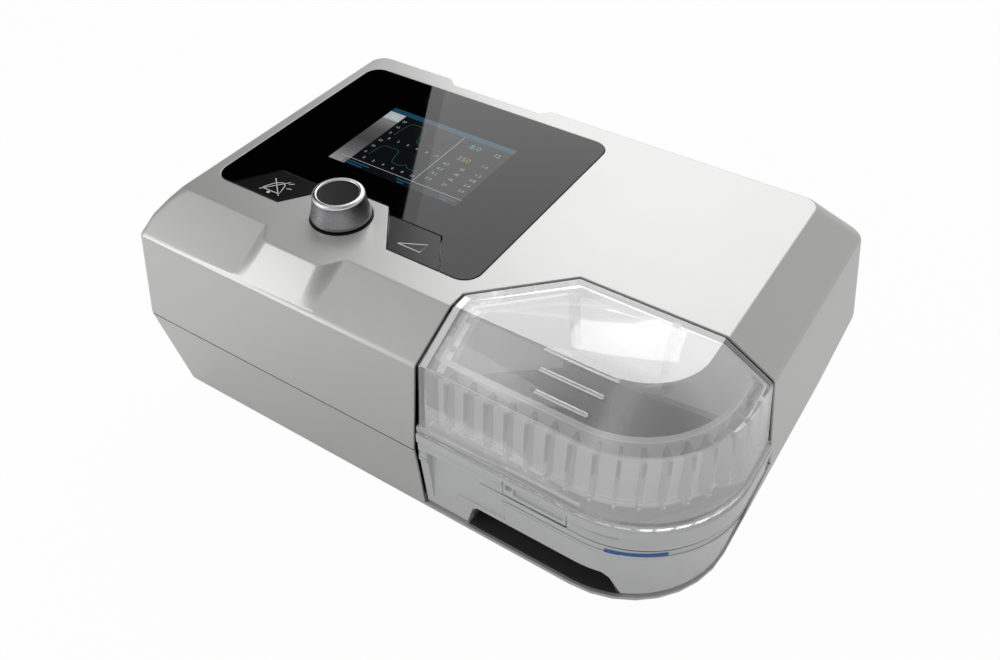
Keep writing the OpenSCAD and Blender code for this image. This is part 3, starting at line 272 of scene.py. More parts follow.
class Finishes:
    """Every finish on the machine: most bear the name of their slot in the record."""

    SILVER = Finish("silver_paint", (0.67, 0.67, 0.66), 0.38, Grain.PAINT, 0.52)
    GLASS = Finish("black_glass", (0.001, 0.001, 0.0012), 0.02, Grain.GLASS, ior=1.42)
    DISPLAY = Finish("display", (0.01, 0.012, 0.015), 0.2, Grain.GLASS)
    BOARD = Finish("board", (0.02, 0.16, 0.07), 0.4, Grain.BOARD, coat=0.3)
    STEEL = Finish("steel", (0.58, 0.58, 0.59), 0.3, Grain.BRUSHED, 1.0)
    BLACK = Finish("black_plastic", (0.008, 0.008, 0.009), 0.5)
    # The grip insert's own black; the plate over the tray in the finger recess uses it as painted shade
    GRIP = Finish("grip_black", (0.045, 0.045, 0.046), 0.4)
    WHITE = Finish("white_plastic", (0.8, 0.8, 0.78))
    KNOB = Finish("knob_metal", (0.3, 0.3, 0.31), 0.28, Grain.BRUSHED, 1.0, turned=0.8)
    # Painted highlight: the knob's metal, much lighter, for the rim that faces the lamps
    RIM_HIGHLIGHT = Finish("knob_rim_highlight", (0.85, 0.85, 0.86), 0.28, Grain.BRUSHED, 1.0, turned=0.4)
    CAP = Finish("knob_black", (0.006, 0.006, 0.0065), specular=0.3)
    KEY_DARK = Finish("key_plastic", (0.006, 0.006, 0.007), 0.25, Grain.GLASS)
    CARD = Finish("card_plastic", (0.03, 0.05, 0.13))
    ALUMINIUM = Finish("aluminium", (0.74, 0.74, 0.75), 0.3, Grain.BRUSHED, 1.0)
    SILICONE = Finish("silicone", (0.86, 0.86, 0.85), 0.5, Grain.RUBBER, sheen=0.1)
    GREY = Finish("grey_plastic", (0.2, 0.21, 0.23), 0.5)
    RUBBER = Finish("rubber", (0.025, 0.025, 0.025), 0.75, Grain.RUBBER)
    MOTOR = Finish("motor", (0.42, 0.24, 0.12), 0.35, Grain.BRUSHED, 0.9)
    FOAM = Finish("foam", (0.05, 0.05, 0.055), 0.95, Grain.FOAM, sheen=0.3)
    PORT = Finish("port_plastic", (0.36, 0.37, 0.38), 0.4)
    COVER = Finish("cover_plastic", (0.58, 0.58, 0.565), 0.36, Grain.PAINT, 0.6)
    FILTER = Finish("filter_foam", (0.86, 0.86, 0.83), 0.95, Grain.FOAM, sheen=0.3)
    CLEAR = Finish("clear_plastic", (0.93, 0.93, 0.935), 0.03, Grain.CLEAR, transmission=0.9, ior=1.45,
                   coat=1.0, coat_ior=2.6, light_alpha=0.1)
    TUB = Finish("clear_tub", (0.79, 0.795, 0.8), 0.22, Grain.GLASS, coat=0.6, coat_ior=1.6, alpha=0.9,
                 light_alpha=0.4)
    RIB = Finish("clear_rib", (0.42, 0.42, 0.425), 0.3, Grain.GLASS, alpha=0.55, light_alpha=0.3)
    SKIRT = Finish("clear_skirt", (0.8, 0.8, 0.8), 0.35, Grain.GLASS, alpha=0.85, light_alpha=0.3)
    MILK = Finish("milky_wall", (0.95, 0.95, 0.95), 0.4, Grain.GLASS, light_alpha=0.5)
    PANE = Finish("air_window", (0.97, 0.97, 0.97), 0.5)
    # Painted shade: black sheets on the bay's walls stand in for the shade of the gap and of the bay behind
    # the chamber
    BAY_SHADE = Finish("bay_shade_sheets", (0.012, 0.012, 0.013), 0.6)
    # Painted highlights and reflections: white for the bright lines, beads, light cells and edge strip inside
    # the lid
    GLINT_WHITE = Finish("white_glint", (0.95, 0.95, 0.95), 0.1, Grain.GLASS)
    LINE = Finish("level_blue", (0.008, 0.15, 0.55), 0.4)
    BAND = Finish("band_grey", (0.5, 0.5, 0.505), 0.4, Grain.GLASS, alpha=0.75, light_alpha=0.4)
    # Painted shade: a dark see-through plate darkens the chamber's inside
    CHAMBER_SHADE = Finish("painted_chamber_shade", (0.03, 0.03, 0.031), 0.3, Grain.GLASS, alpha=0.8, light_alpha=0.4)
    INK = Finish("white_ink", (0.82, 0.82, 0.82), 0.5)
    FLOOR = Finish("floor", (0.9, 0.9, 0.9), 0.9)
    SHADE = Finish("card_black", (0.0, 0.0, 0.0), 0.9, specular=0.0)


SOLID_FINISHES: Dict[Finish, Tuple[str, ...]] = {
    Finishes.DISPLAY: ("lcd_module",),
    Finishes.BOARD: ("display_board", "main_board"),
    Finishes.STEEL: ("encoder_body", "knob_shaft", "card_socket", "motor_rotor", "case_screws"),
    Finishes.BLACK: ("knob_collar", "key_switches", "alarm_sounder", "power_socket", "dock_liner",
                     "pressure_sensor"),
    Finishes.WHITE: ("knob_plunger", "impeller"),
    Finishes.CARD: ("memory_card",),
    Finishes.ALUMINIUM: ("heater_plate", "chamber_base_plate"),
    Finishes.SILICONE: ("dock_gaskets", "blower_boot", "lid_seal"),
    Finishes.GREY: ("blower_housing", "blower_cover", "inlet_muffler", "inlet_duct", "air_duct"),
    Finishes.RUBBER: ("blower_mounts", "rubber_feet"),
    Finishes.MOTOR: ("motor_stator",),
    Finishes.FOAM: ("muffler_foam",),
    Finishes.PORT: ("outlet_port",),
    Finishes.COVER: ("filter_cover",),
    Finishes.FILTER: ("air_filter",),
    Finishes.GRIP: ("grip_insert",),
}


class Surface:
    """Works out points and faces as whole arrays, and makes pieces of them."""

    @staticmethod
    def build(name: str, solid: Solid, finish: Finish, smooth: bool = True,
              unit: float = MM) -> bpy.types.Object:
        """Puts points and faces into a mesh object, welds doubles and turns faces outwards.

        Args:
            name: name of the piece.
            solid: its points, and arrays of vertex numbers with one row a face.
            finish: finish of the piece.
            smooth: whether the faces are smooth.
            unit: length of the points' unit in metres.

        Returns:
            The linked object.
        """
        points, faces = solid
        mesh = bpy.data.meshes.new(name)
        corners = np.concatenate([f.ravel() for f in faces]).astype(np.int32)
        count = np.concatenate([np.full(len(f), f.shape[1]) for f in faces]).astype(np.int32)
        mesh.vertices.add(len(points))
        mesh.vertices.foreach_set("co", (points * unit).astype(np.float32).ravel())
        mesh.loops.add(len(corners))
        mesh.loops.foreach_set("vertex_index", corners)
        mesh.polygons.add(len(count))
        mesh.polygons.foreach_set("loop_start", np.concatenate([[0], np.cumsum(count)[:-1]]).astype(np.int32))
        mesh.update(calc_edges=True)
        work = bmesh.new()
        work.from_mesh(mesh)
        bmesh.ops.remove_doubles(work, verts=work.verts, dist=WELD)
        bmesh.ops.dissolve_degenerate(work, edges=work.edges, dist=WELD)
        bmesh.ops.recalc_face_normals(work, faces=work.faces)
        work.to_mesh(mesh)
        work.free()
        mesh.polygons.foreach_set("use_smooth", np.full(len(mesh.polygons), smooth))
        mesh.materials.append(finish.material())
        return Surface.link(name, mesh)

    @staticmethod
    def link(name: str, mesh: bpy.types.Mesh) -> bpy.types.Object:
        """Makes an object of a mesh and puts it into the scene.

        Args:
            name: name of the object.
            mesh: its mesh.

        Returns:
            The object.
        """
        piece = bpy.data.objects.new(name, mesh)
        bpy.context.scene.collection.objects.link(piece)
        return piece

    @staticmethod
    def fit(piece: bpy.types.Object, body: str, slot: str, *nodes: str) -> bpy.types.Object:
        """Puts a piece on its body and reports it.

        Args:
            piece: the piece.
            body: the body it rides on.
            slot: not used.
            nodes: the solids that it stands for.

        Returns:
            The piece.
        """
        if nodes:
            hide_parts(*nodes)
        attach(piece, body)
        LOG.info("%s on %s: %d faces", piece.name, body, len(piece.data.polygons))
        return piece

    @staticmethod
    def grid(points: Array, wrap_u: bool, wrap_v: bool) -> Solid:
        """Numbers the four-sided faces of a grid of points.

        Args:
            points: U by V by 3 array.
            wrap_u: whether the last row joins the first.
            wrap_v: whether the last column joins the first.

        Returns:
            The points as a list, and the faces.
        """
        nu, nv = points.shape[:2]
        i, j = np.arange(nu if wrap_u else nu - 1), np.arange(nv if wrap_v else nv - 1)
        i, j = (a.ravel() for a in np.meshgrid(i, j, indexing="ij"))
        k, m = (i + 1) % nu, (j + 1) % nv
        return points.reshape(-1, 3), [np.stack([i * nv + j, k * nv + j, k * nv + m, i * nv + m], 1)]

    @staticmethod
    def tube(rings: Array) -> Solid:
        """Joins rings of points to a wall and closes the first and the last ring with a face.

        Args:
            rings: N by M by 3 array, one row a ring.

        Returns:
            Points and faces.
        """
        n, m = rings.shape[:2]
        points, wall = Surface.grid(rings, False, True)
        return points, [*wall, np.arange(m)[None], (n - 1) * m + np.arange(m)[None]]

    @staticmethod
    def turned(profile: Array, centre: Place, steps: int) -> Solid:
        """Turns a profile about a vertical axis: x = r cos t, y = r sin t, z = height.

        Args:
            profile: N by 2 array of radius and height.
            centre: place of the axis's foot.
            steps: number of steps round.

        Returns:
            Points and faces, closed where the profile reaches the axis.
        """
        t = np.linspace(0, 2 * math.pi, steps, endpoint=False)
        r, z = profile[:, 0][:, None], profile[:, 1][:, None]
        return Surface.grid(np.stack([r * np.cos(t), r * np.sin(t), z + 0 * t], -1) + centre, False, True)

    @staticmethod
    def carried(path: Array, section: Array, up: Place = (0, 0, 1)) -> Solid:
        """Carries a closed section along a path, square to its direction.

        Point = path + section x times the side direction + section y times the up direction.

        Args:
            path: N by 3 points.
            section: M by 2 points.
            up: direction that the section's y keeps as nearly as the path lets it.

        Returns:
            Points and faces.
        """
        along = np.gradient(path, axis=0)
        along /= np.linalg.norm(along, axis=1, keepdims=True)
        side = np.cross(along, np.asarray(up, float))
        side /= np.linalg.norm(side, axis=1, keepdims=True)
        top = np.cross(side, along)
        x, y = section[None, :, :1], section[None, :, 1:]
        return Surface.tube(path[:, None] + side[:, None] * x + top[:, None] * y)

    @staticmethod
    def plate(outline: Array, low: float, high: float) -> Solid:
        """A flat plate: the outline at two heights, joined by a wall.

        Args:
            outline: N by 2 points.
            low: height of the lower face.
            high: height of the upper face.

        Returns:
            Points and faces.
        """
        return Surface.tube(np.stack([np.c_[outline, np.full(len(outline), z)] for z in (low, high)]))

    @staticmethod
    def joined(parts: Sequence[Solid]) -> Solid:
        """Joins several solids' points and faces into one list of each."""
        start = np.cumsum([0] + [len(p) for p, _ in parts])
        return np.vstack([p for p, _ in parts]), [f + s for (_, fs), s in zip(parts, start) for f in fs]

    @staticmethod
    def arc(middle: Sequence[float], radius: Any, angle: Array) -> Array:
        """Points on a circle: x = middle + r cos a, y = middle + r sin a."""
        return np.stack([middle[0] + radius * np.cos(angle), middle[1] + radius * np.sin(angle)], 1)

    @staticmethod
    def circle(radius: float, steps: int) -> Array:
        """A round section of that radius."""
        return Surface.arc((0, 0), radius, np.linspace(0, 2 * math.pi, steps, endpoint=False))

    @staticmethod
    def bar(width: float, height: float) -> Array:
        """A rectangular section that stands on the path."""
        return np.array([[-width / 2, 0], [width / 2, 0], [width / 2, height], [-width / 2, height]])

    @staticmethod
    def beside(path: Array, distance: float) -> Array:
        """Steps to the left of a flat path's direction, at each of its points."""
        return Surface.left_of(np.gradient(path, axis=0), distance)

    @staticmethod
    def left_of(along: Array, distance: float) -> Array:
        """Steps of that length to the left of each flat direction."""
        left = np.stack([-along[:, 1], along[:, 0]], 1)
        return left / np.linalg.norm(along, axis=1, keepdims=True) * distance

    @staticmethod
    def rounded(corners: Sequence[Sequence[float]], radii: Sequence[float], steps: Sequence[int]) -> Array:
        """Rounds a polygon: each corner becomes an arc between its two tangent points.

        Args:
            corners: N by 2 points.
            radii: radius at each corner.
            steps: points on each arc.

        Returns:
            The points of the outline.
        """
        out, corners = [], np.asarray(corners, float)
        for k, (p, r, n) in enumerate(zip(corners, radii, steps)):
            a, b = corners[k - 1] - p, corners[(k + 1) % len(corners)] - p
            a, b = a / np.linalg.norm(a), b / np.linalg.norm(b)
            half = math.acos(float(np.clip(a @ b, -1, 1))) / 2
            mid = p + (a + b) / np.linalg.norm(a + b) * r / math.sin(half)
            u, w = (p + way * r / math.tan(half) - mid for way in (a, b))
            whole = math.pi - 2 * half
            t = np.linspace(0, 1, n)[:, None]
            out.append(mid + (np.sin((1 - t) * whole) * u + np.sin(t * whole) * w) / math.sin(whole))
        return np.vstack(out)


class SolidCopies:
    """Merged copies of CAD solids with rounded edges."""

    MERGE = 0.04 * MM
    SHARP = math.radians(24)
    Change = Tuple[str, Solid]

    @staticmethod
    def clean(mesh: bpy.types.Mesh, drop: float = 0.0, flat: float = 0.0) -> None:
        """Merges a mesh's points and takes out what is too small or flat.

        Args:
            mesh: the mesh.
            drop: length under which an edge goes, or 0 to leave short edges.
            flat: angle in degrees under which two faces become one, or 0 to leave them.
        """
        work = bmesh.new()
        work.from_mesh(mesh)
        bmesh.ops.remove_doubles(work, verts=work.verts, dist=SolidCopies.MERGE)
        if drop > 0:
            bmesh.ops.dissolve_degenerate(work, edges=work.edges, dist=drop)
        if flat > 0:
            bmesh.ops.dissolve_limit(work, angle_limit=math.radians(flat), use_dissolve_boundaries=False,
                                     verts=work.verts, edges=work.edges, delimit={"NORMAL"})
        work.to_mesh(mesh)
        work.free()

    @staticmethod
    def combine(base: bpy.types.Object, other: bpy.types.Object, kind: str) -> None:
        """Cuts a solid from another or joins it on, and removes it.

        Args:
            base: the solid that stays.
            other: the solid that is used up.
            kind: UNION or DIFFERENCE.
        """
        change = base.modifiers.new("change", "BOOLEAN")
        change.operation, change.solver, change.object = kind, "EXACT", other
        graph = bpy.context.evaluated_depsgraph_get()
        mesh, old = bpy.data.meshes.new_from_object(base.evaluated_get(graph)), base.data
        base.modifiers.clear()
        base.data = mesh
        bpy.data.meshes.remove(old)
        bpy.data.objects.remove(other)

    @staticmethod
    def mark_convex(mesh: bpy.types.Mesh) -> None:
        """Gives the sharp edges that stand out their full bevel weight.

        Args:
            mesh: the mesh.
        """
        work = bmesh.new()
        work.from_mesh(mesh)
        weight = work.edges.layers.float.new("bevel_weight_edge")
        for edge in work.edges:
            edge[weight] = float(edge.is_convex and edge.calc_face_angle(0.0) > SolidCopies.SHARP)
        work.to_mesh(mesh)
        work.free()

    @staticmethod
    def copy(frame: Dict[str, Any], nodes: Sequence[str], name: str, finish: Finish, body: str,
             width: float, slot: Optional[str] = None, changes: Sequence[Change] = (),
             convex: bool = False) -> bpy.types.Object:
        """Copies solids, merges their points, joins flat faces and rounds the sharp edges.

        Args:
            nodes: the solids that the piece stands for.
            name: name of the piece.
            finish: its finish.
            body: the body it rides on.
            width: width of the rounded edges.
            slot: a name handed on to Surface.fit, if that isn't the finish's name.
            changes: what is cut off or joined on: the kind of boolean, with points and faces.
            convex: whether only the edges that stand out are rounded.

        Returns:
            The piece.
        """
        pieces = [Surface.link(name, frame["nodes"][node].data.copy()) for node in nodes]
        for piece in pieces:
            SolidCopies.clean(piece.data, drop=SolidCopies.MERGE / 2)
        base = pieces[0]
        for other in pieces[1:]:
            SolidCopies.combine(base, other, "UNION")
        SolidCopies.clean(base.data, flat=0.6)
        for kind, shape in changes:
            SolidCopies.combine(base, Surface.build("tool", shape, finish, smooth=False), kind)
            SolidCopies.clean(base.data, drop=SolidCopies.MERGE, flat=0.4)
        mesh = base.data
        mesh.materials.clear()
        mesh.materials.append(finish.material())
        mesh.polygons.foreach_set("material_index", np.zeros(len(mesh.polygons), np.int32))
        mesh.polygons.foreach_set("use_smooth", np.ones(len(mesh.polygons), bool))
        # What the CAD mesh says on shading doesn't fit its new edges
        for old in ("custom_normal", "sharp_edge", "sharp_face"):
            if old in mesh.attributes:
                mesh.attributes.remove(mesh.attributes[old])
        bevel = base.modifiers.new("round_edges", "BEVEL")
        bevel.width, bevel.segments, bevel.angle_limit = width * MM, 2, SolidCopies.SHARP
        bevel.use_clamp_overlap, bevel.miter_outer = False, "MITER_ARC"
        bevel.limit_method = "WEIGHT" if convex else "ANGLE"
        if convex:
            SolidCopies.mark_convex(mesh)
        weight = base.modifiers.new("even_normals", "WEIGHTED_NORMAL")
        weight.keep_sharp, weight.weight = True, 60
        return Surface.fit(base, body, slot or finish.name, *nodes)


@dataclass
class KnobStep:
    """The step under the knob: it stands out of the case's front slope and fades into it at the shoulder.

    The shoulder is a depth and a height. The step is steeper than the slope by the rise. The
    lean says over which depth the left flank's inner edge moves out, and by how much. The plane
    under the block is a depth, the height there and its slope.
    """

    shoulder: Tuple[float, float] = (-85.25, 92.40)
    slope: float = 0.5
    rise: float = 0.3257
    top: float = 104.0
    chamfer: Tuple[float, float] = (1.38, 0.42)
    ends: Tuple[float, float] = (-86.0, -31.0)
    back: float = -60.5
    flanks: Tuple[float, float, float, float] = (-82.0, -72.0, -46.0, -37.0)
    lean: Tuple[float, float] = (13.95, 2.5)
    plane: Tuple[float, float, float] = (-86.2, 90.7, 0.4195)
    cleared: Tuple[float, float] = (-77.0, -43.0)
    rows: int = 18

    def flank(self, y: Array) -> Array:
        """Where the flanks start and end: the left inner edge leans out towards the shoulder.

        Args:
            y: the depths.

        Returns:
            Left outer, left inner, right inner and right outer edge at each depth.
        """
        deep, shift = self.lean
        share = np.clip((self.shoulder[0] + deep - y) / deep, 0, 1)
        edges = np.array(self.flanks) + 0 * y[..., None]
        edges[..., 1] -= shift * share
        return edges

    def surface(self) -> Solid:
        """The step as a block whose top is the blend: height = slope + (step - slope) w.

        The share w is 1 between the flanks and falls to 0 across each flank as 3t2 - 2t3. Each
        column runs up the front to where the blend meets the flat top, over a narrow chamfer.

        Returns:
            Points and faces of the closed block.
        """
        t = np.linspace(0, 1, 21)
        ease = t * t * (3 - 2 * t)
        share = np.concatenate([[0], ease, ease[::-1], [0]])
        place = np.concatenate([[-1], t, 2 + t, [4]])
        wide, deep = self.chamfer
        grade = self.slope + self.rise * share
        end = (self.top - deep - self.shoulder[1]) / grade
        y = self.shoulder[0] + np.linspace(0, 1, self.rows)[None] * end[:, None]
        z = self.shoulder[1] + (y - self.shoulder[0]) * grade[:, None]
        y = np.column_stack([y, y[:, -1] + wide * (1 - 0.4 * share), np.full(len(share), self.back)])
        z = np.column_stack([z, np.full((len(share), 2), self.top)])
        marks = self.flank(y)
        low = np.where(place <= 1, 0, 2)
        i = np.arange(len(place))
        start, stop = marks[i, :, low], marks[i, :, low + 1]
        x = start + (place - low)[:, None] * (stop - start)
        x[0], x[-1] = self.ends
        pts, faces = Surface.grid(np.stack([x, y, z], -1), False, False)
        n, m = y.shape
        loop = np.concatenate([np.arange(n) * m, (n - 1) * m + np.arange(1, m),
                               np.arange(n - 2, -1, -1) * m + m - 1, np.arange(m - 2, 0, -1)])
        foot = pts[loop].copy()
        right, left = foot[:, 0] > self.ends[1] - 0.01, foot[:, 0] < self.ends[0] + 0.01
        rear, front = foot[:, 1] > self.back - 0.01, foot[:, 1] < self.shoulder[0] + 0.01
        foot[:, 0] += 0.8 * (right.astype(float) - left)
        foot[:, 1] += 1.0 * rear - 0.95 * front
        foot[:, 2] = self.under(foot[:, 1], 0.0)
        i = np.arange(len(loop))
        skirt = np.stack([loop, np.roll(loop, -1), len(pts) + np.roll(i, -1), len(pts) + i], 1)
        return np.vstack([pts, foot]), [*faces, skirt, (len(pts) + i)[None]]

    def under(self, y: Any, lift: float) -> Any:
        """Height of the plane under the block, inside the case's wall, at that depth."""
        start, high, grade = self.plane
        return high + lift + (y - start) * grade

    def prism(self, outline: Sequence[Tuple[float, float]], x0: float, x1: float) -> Solid:
        """A prism from x0 to x1 whose outline is given in depth and height."""
        pts, faces = Surface.plate(np.array(outline), x0, x1)
        return pts[:, [2, 0, 1]], faces

    def changes(self) -> List[SolidCopies.Change]:
        """Cuts a pocket for the block and clears the case's wall in front of it.

        Returns:
            What is cut from the case's copy, and the block that is joined to it.
        """
        y0, z0 = self.shoulder
        clear, nose, over, fall = 110.0, -88.5, 96.0, 0.858
        pocket = self.prism([(y0, self.under(y0, 0.5)), (self.back, self.under(self.back, 0.5)),
                             (self.back, clear), (y0, clear)], *self.ends)
        front = self.prism([(nose, z0 + (nose - y0) * fall), (y0, z0), (y0, over), (nose, over)],
                           *self.cleared)
        return [("DIFFERENCE", pocket), ("DIFFERENCE", front), ("UNION", self.surface())]


@dataclass
class CaseShell:
    """The two halves of the case and the painted shade of the gap between them.

    The gap is its depth, and its lower and upper edge measured from the seam.
    """

    edge: float = 0.4
    seam: float = 47.0
    half: Tuple[float, float] = (140.3, 91.8)
    bay: Tuple[float, float] = (14.3, -19.2)
    gap: Tuple[float, float, float] = (0.4, -0.64, 0.1)

    def seam_shade_band(self) -> Solid:
        """The seam's painted shade: a thin black band just inside the outline, round the case up to the bay,
        that darkens the groove between the halves.

        Returns:
            Points and faces.
        """
        x, y = self.half
        corners = [[x, self.bay[1]], [x, y], [-x, y], [-x, -y], [self.bay[0], -y]]
        path = Surface.rounded(corners, [0.01, 7.3, 7.3, 2.8, 0.01], [1, 12, 12, 9, 1])
        deep, low, high = self.gap
        section = np.array([[-deep, low], [0, low], [0, high], [-deep, high]])
        return Surface.carried(np.c_[path, np.full(len(path), self.seam)], section)

    def dress(self, frame: Dict[str, Any]) -> None:
        """Rounds and paints the halves.
        """
        upper = ["top_case", "bay_wall_left", "bay_wall_corner", "bay_wall_rear"]
        SolidCopies.copy(frame, upper, "top_shell", Finishes.SILVER, "machine", self.edge,
                         changes=KnobStep().changes())
        SolidCopies.copy(frame, ["bottom_case"], "bottom_shell", Finishes.SILVER, "machine", self.edge,
                         convex=True)
        # Painted shade: a black band in the seam's groove
        gap = Surface.build("seam_shade_band", self.seam_shade_band(), Finishes.BLACK, smooth=False)
        Surface.fit(gap, "machine", "black_plastic")


@dataclass
class DisplayPanel:
    """The black glass with the picture, the two keys and their marks."""

    top: float = 104.1
    lcd_mid: Tuple[float, float] = (-56.2, 17.3)
    lcd_size: Tuple[float, float] = (71.6, 51.4)
    lift: float = 0.03
    layer: float = 0.008
    ink: float = 0.05
    glass_edge: float = 0.25
    key_edge: float = 0.22
    white: Colour = (0.62, 0.66, 0.68)
    parts: List[Solid] = field(default_factory=list)
    tints: List[Array] = field(default_factory=list)

    def place(self, uv: Any) -> Array:
        """Shares of the picture's width and height as places on the glass."""
        size = np.array(self.lcd_size)
        return np.array(self.lcd_mid) - size / 2 + np.asarray(uv, float) * size

    def keep(self, solid: Solid, colour: Colour) -> None:
        """Adds points and faces to the picture, with their colour."""
        self.parts.append(solid)
        self.tints.append(np.tile([*colour, 1.0], (len(solid[0]), 1)))

    def height(self, step: int) -> float:
        """Height of one of the picture's thin layers above the glass."""
        return self.top + self.lift + step * self.layer

    def rect(self, u0: float, v0: float, u1: float, v1: float, colour: Colour, step: int = 1) -> None:
        """Adds a rectangle of the picture from its two corners, on that layer."""
        pts = self.place([[u0, v0], [u1, v0], [u1, v1], [u0, v1]])
        self.keep((np.c_[pts, np.full(4, self.height(step))], [np.arange(4)[None]]), colour)

    def line(self, uv: Any, width: float, colour: Colour) -> None:
        """Adds a line of the picture: a strip of even width along a path.

        Args:
            uv: the path's points, in shares of the picture.
            width: width of the strip.
            colour: its colour.
        """
        path = self.place(uv)
        side = Surface.beside(path, width / 2)
        z = np.full((len(path), 1), self.height(2))
        strip = np.stack([np.hstack([path - side, z]), np.hstack([path + side, z])], 1)
        self.keep(Surface.grid(strip, False, False), colour)

    def number(self, text: str, u: float, v: float, height: float, colour: Colour) -> None:
        """Adds plain digits to the picture, centred on a point.

        Args:
            text: the digits.
            u: share of the width.
            v: share of the height.
            height: height of a digit.
            colour: its colour.
        """
        curve = bpy.data.curves.new("digits", "FONT")
        curve.body, curve.size, curve.resolution_u = text, height * 1.4, 2
        curve.align_x, curve.align_y = "CENTER", "CENTER"
        holder = bpy.data.objects.new("digits", curve)
        mesh = bpy.data.meshes.new_from_object(holder)
        mesh.calc_loop_triangles()
        co, tri = np.zeros(len(mesh.vertices) * 3), np.zeros(len(mesh.loop_triangles) * 3, np.int32)
        mesh.vertices.foreach_get("co", co)
        mesh.loop_triangles.foreach_get("vertices", tri)
        co = co.reshape(-1, 3)
        co[:, :2] += self.place([u, v])
        co[:, 2] = self.height(3)
        self.keep((co, [tri.reshape(-1, 3)]), colour)
        bpy.data.objects.remove(holder)
        bpy.data.curves.remove(curve)
        bpy.data.meshes.remove(mesh)

    def bars(self) -> None:
        """Draws the ground, the bars, the shaded column, the rules and the labels under them."""
        black, teal, blue = (0.004, 0.005, 0.006), (0.015, 0.1, 0.17), (0.02, 0.14, 0.24)
        self.rect(0, 0, 1, 1, black, 0)
        self.rect(0, 0.93, 1, 1, teal)
        self.rect(0, 0.8, 0.13, 0.93, (0.72, 0.84, 0.86))
        self.rect(0.035, 0.83, 0.095, 0.9, (0.85, 0.92, 0.93), 2)
        shade = np.interp(np.linspace(0, 1, 33), [0, 0.25, 0.5, 0.75, 1], [0.5, 0.22, 0.1, 0.16, 0.4])
        marks = np.linspace(0.0, 0.8, len(shade))
        for a, b, s in zip(marks[:-1], marks[1:], shade):
            self.rect(0.0, a, 0.13, b, (s, s, s * 1.01))
        self.line([[0.05, 0.1], [1.0, 0.1]], 0.32, self.white)
        self.line([[0.62, 0.1], [0.62, 0.93]], 0.32, self.white)
        for u0, u1 in ((0.10, 0.33), (0.5, 0.66), (0.83, 1.0)):
            self.rect(u0, 0.0, u1, 0.088, black)
            self.rect(u0 + 0.02, 0.052, u1 - 0.03, 0.068, blue, 2)
            self.rect(u0 + 0.04, 0.018, u1 - 0.07, 0.034, blue, 2)

    def curves(self) -> None:
        """Draws the two breathing curves, with plain numbers along their axes.

        Wave = 0.12 + 0.8 rise fall + bump: the rise is 1 - exp(-40 t), the fall a steep step
        down at 0.42 and the bump a bell at 0.72.
        """
        green = (0.03, 0.2, 0.12)
        t = np.linspace(0, 1, 60)
        rise, fall = 1 - np.exp(-t * 40), 1 / (1 + np.exp((t - 0.42) * 60))
        bump = 0.14 * np.exp(-((t - 0.72) / 0.045) ** 2)
        for v0, v1, k in ((0.57, 0.88, 1.0), (0.2, 0.48, 0.85)):
            wave = 0.12 + 0.8 * k * rise * fall + bump
            self.line(np.c_[0.2 + 0.39 * t, v0 + (v1 - v0) * wave], 0.26, green)
            for i in range(6):
                self.number(str(i * 2), 0.2 + 0.077 * i, v0 - 0.035, 1.7, self.white)
            for i, s in enumerate(("0", "10", "20")):
                self.number(s, 0.165, v0 + 0.05 + 0.11 * i, 1.6, self.white)

    def readings(self) -> None:
        """Draws the plain numbers at the right: four large ones and a table of small ones."""
        cyan, yellow = (0.1, 0.5, 0.55), (0.45, 0.42, 0.1)
        large = (("8.0", 0.75, 0.83, 3.6, cyan), ("12", 0.92, 0.83, 2.6, self.white),
                 ("350", 0.76, 0.62, 3.4, yellow), ("14", 0.92, 0.62, 2.6, yellow))
        for text, u, v, height, colour in large:
            self.number(text, u, v, height, colour)
        table = (("4.0", "25", "1.2"), ("6.5", "30", "0.8"), ("9.1", "18", "2.4"), ("5.2", "21", "3.0"))
        for i, row in enumerate(table):
            for j, s in enumerate(row):
                self.number(s, 0.69 + 0.125 * j, 0.48 - 0.09 * i, 1.9, self.white)

    def picture(self) -> bpy.types.Object:
        """Draws the picture.

        Returns:
            The picture, a few thin layers on the glass.
        """
        self.bars()
        self.curves()
        self.readings()
        pts, faces = Surface.joined(self.parts)
        mesh = bpy.data.meshes.new("display_picture")
        mesh.from_pydata((pts * MM).tolist(), [], [row for f in faces for row in f.tolist()])
        tint = mesh.attributes.new("tint", "FLOAT_COLOR", "POINT")
        tint.data.foreach_set("color", np.vstack(self.tints).astype(np.float32).ravel())
        mesh.materials.append(self.picture_finish())
        return Surface.fit(Surface.link("display_picture", mesh), "machine", "display")

    def picture_finish(self) -> bpy.types.Material:
        """The lit picture: its tint glows under the gloss of the glass.

        Returns:
            The material.
        """
        made = bpy.data.materials.new("display_picture")
        made.use_nodes = True
        tree = Nodes(made.node_tree)
        tint = tree.add("Attribute", attribute_name="tint").outputs["Color"]
        grain = tree.add("Group", node_tree=Effects.grain())
        tree.fill(grain, {"Vector": tree.add("TexCoord").outputs["Object"], "Scale": 60.0, "Gloss": 0.03,
                          "Spread": 0.02})
        tree.fill(made.node_tree.nodes["Principled BSDF"],
                  {"Emission Color": tint, "Emission Strength": 0.5, "Base Color": (0.004, 0.004, 0.005, 1),
                   "Roughness": grain.outputs["Roughness"]})
        return made

    def mark(self, name: str, strokes: Sequence[Sequence[Sequence[float]]], width: float, body: str,
             dots: Sequence[Place] = ()) -> None:
        """Lays white lines on a key.

        Args:
            name: name of the piece.
            strokes: lines, each N by 2 points.
            width: width of a line.
            body: the key's body.
            dots: middle and radius of filled dots.
        """
        parts = [Surface.carried(np.c_[np.array(s), np.full(len(s), self.top)], Surface.bar(width, self.ink))
                 for s in strokes]
        high = self.top + self.ink
        parts += [Surface.plate(Surface.circle(r, 24) + [x, y], self.top, high) for x, y, r in dots]
        piece = Surface.build(name, Surface.joined(parts), Finishes.INK, smooth=False)
        Surface.fit(piece, body, "white_plastic")

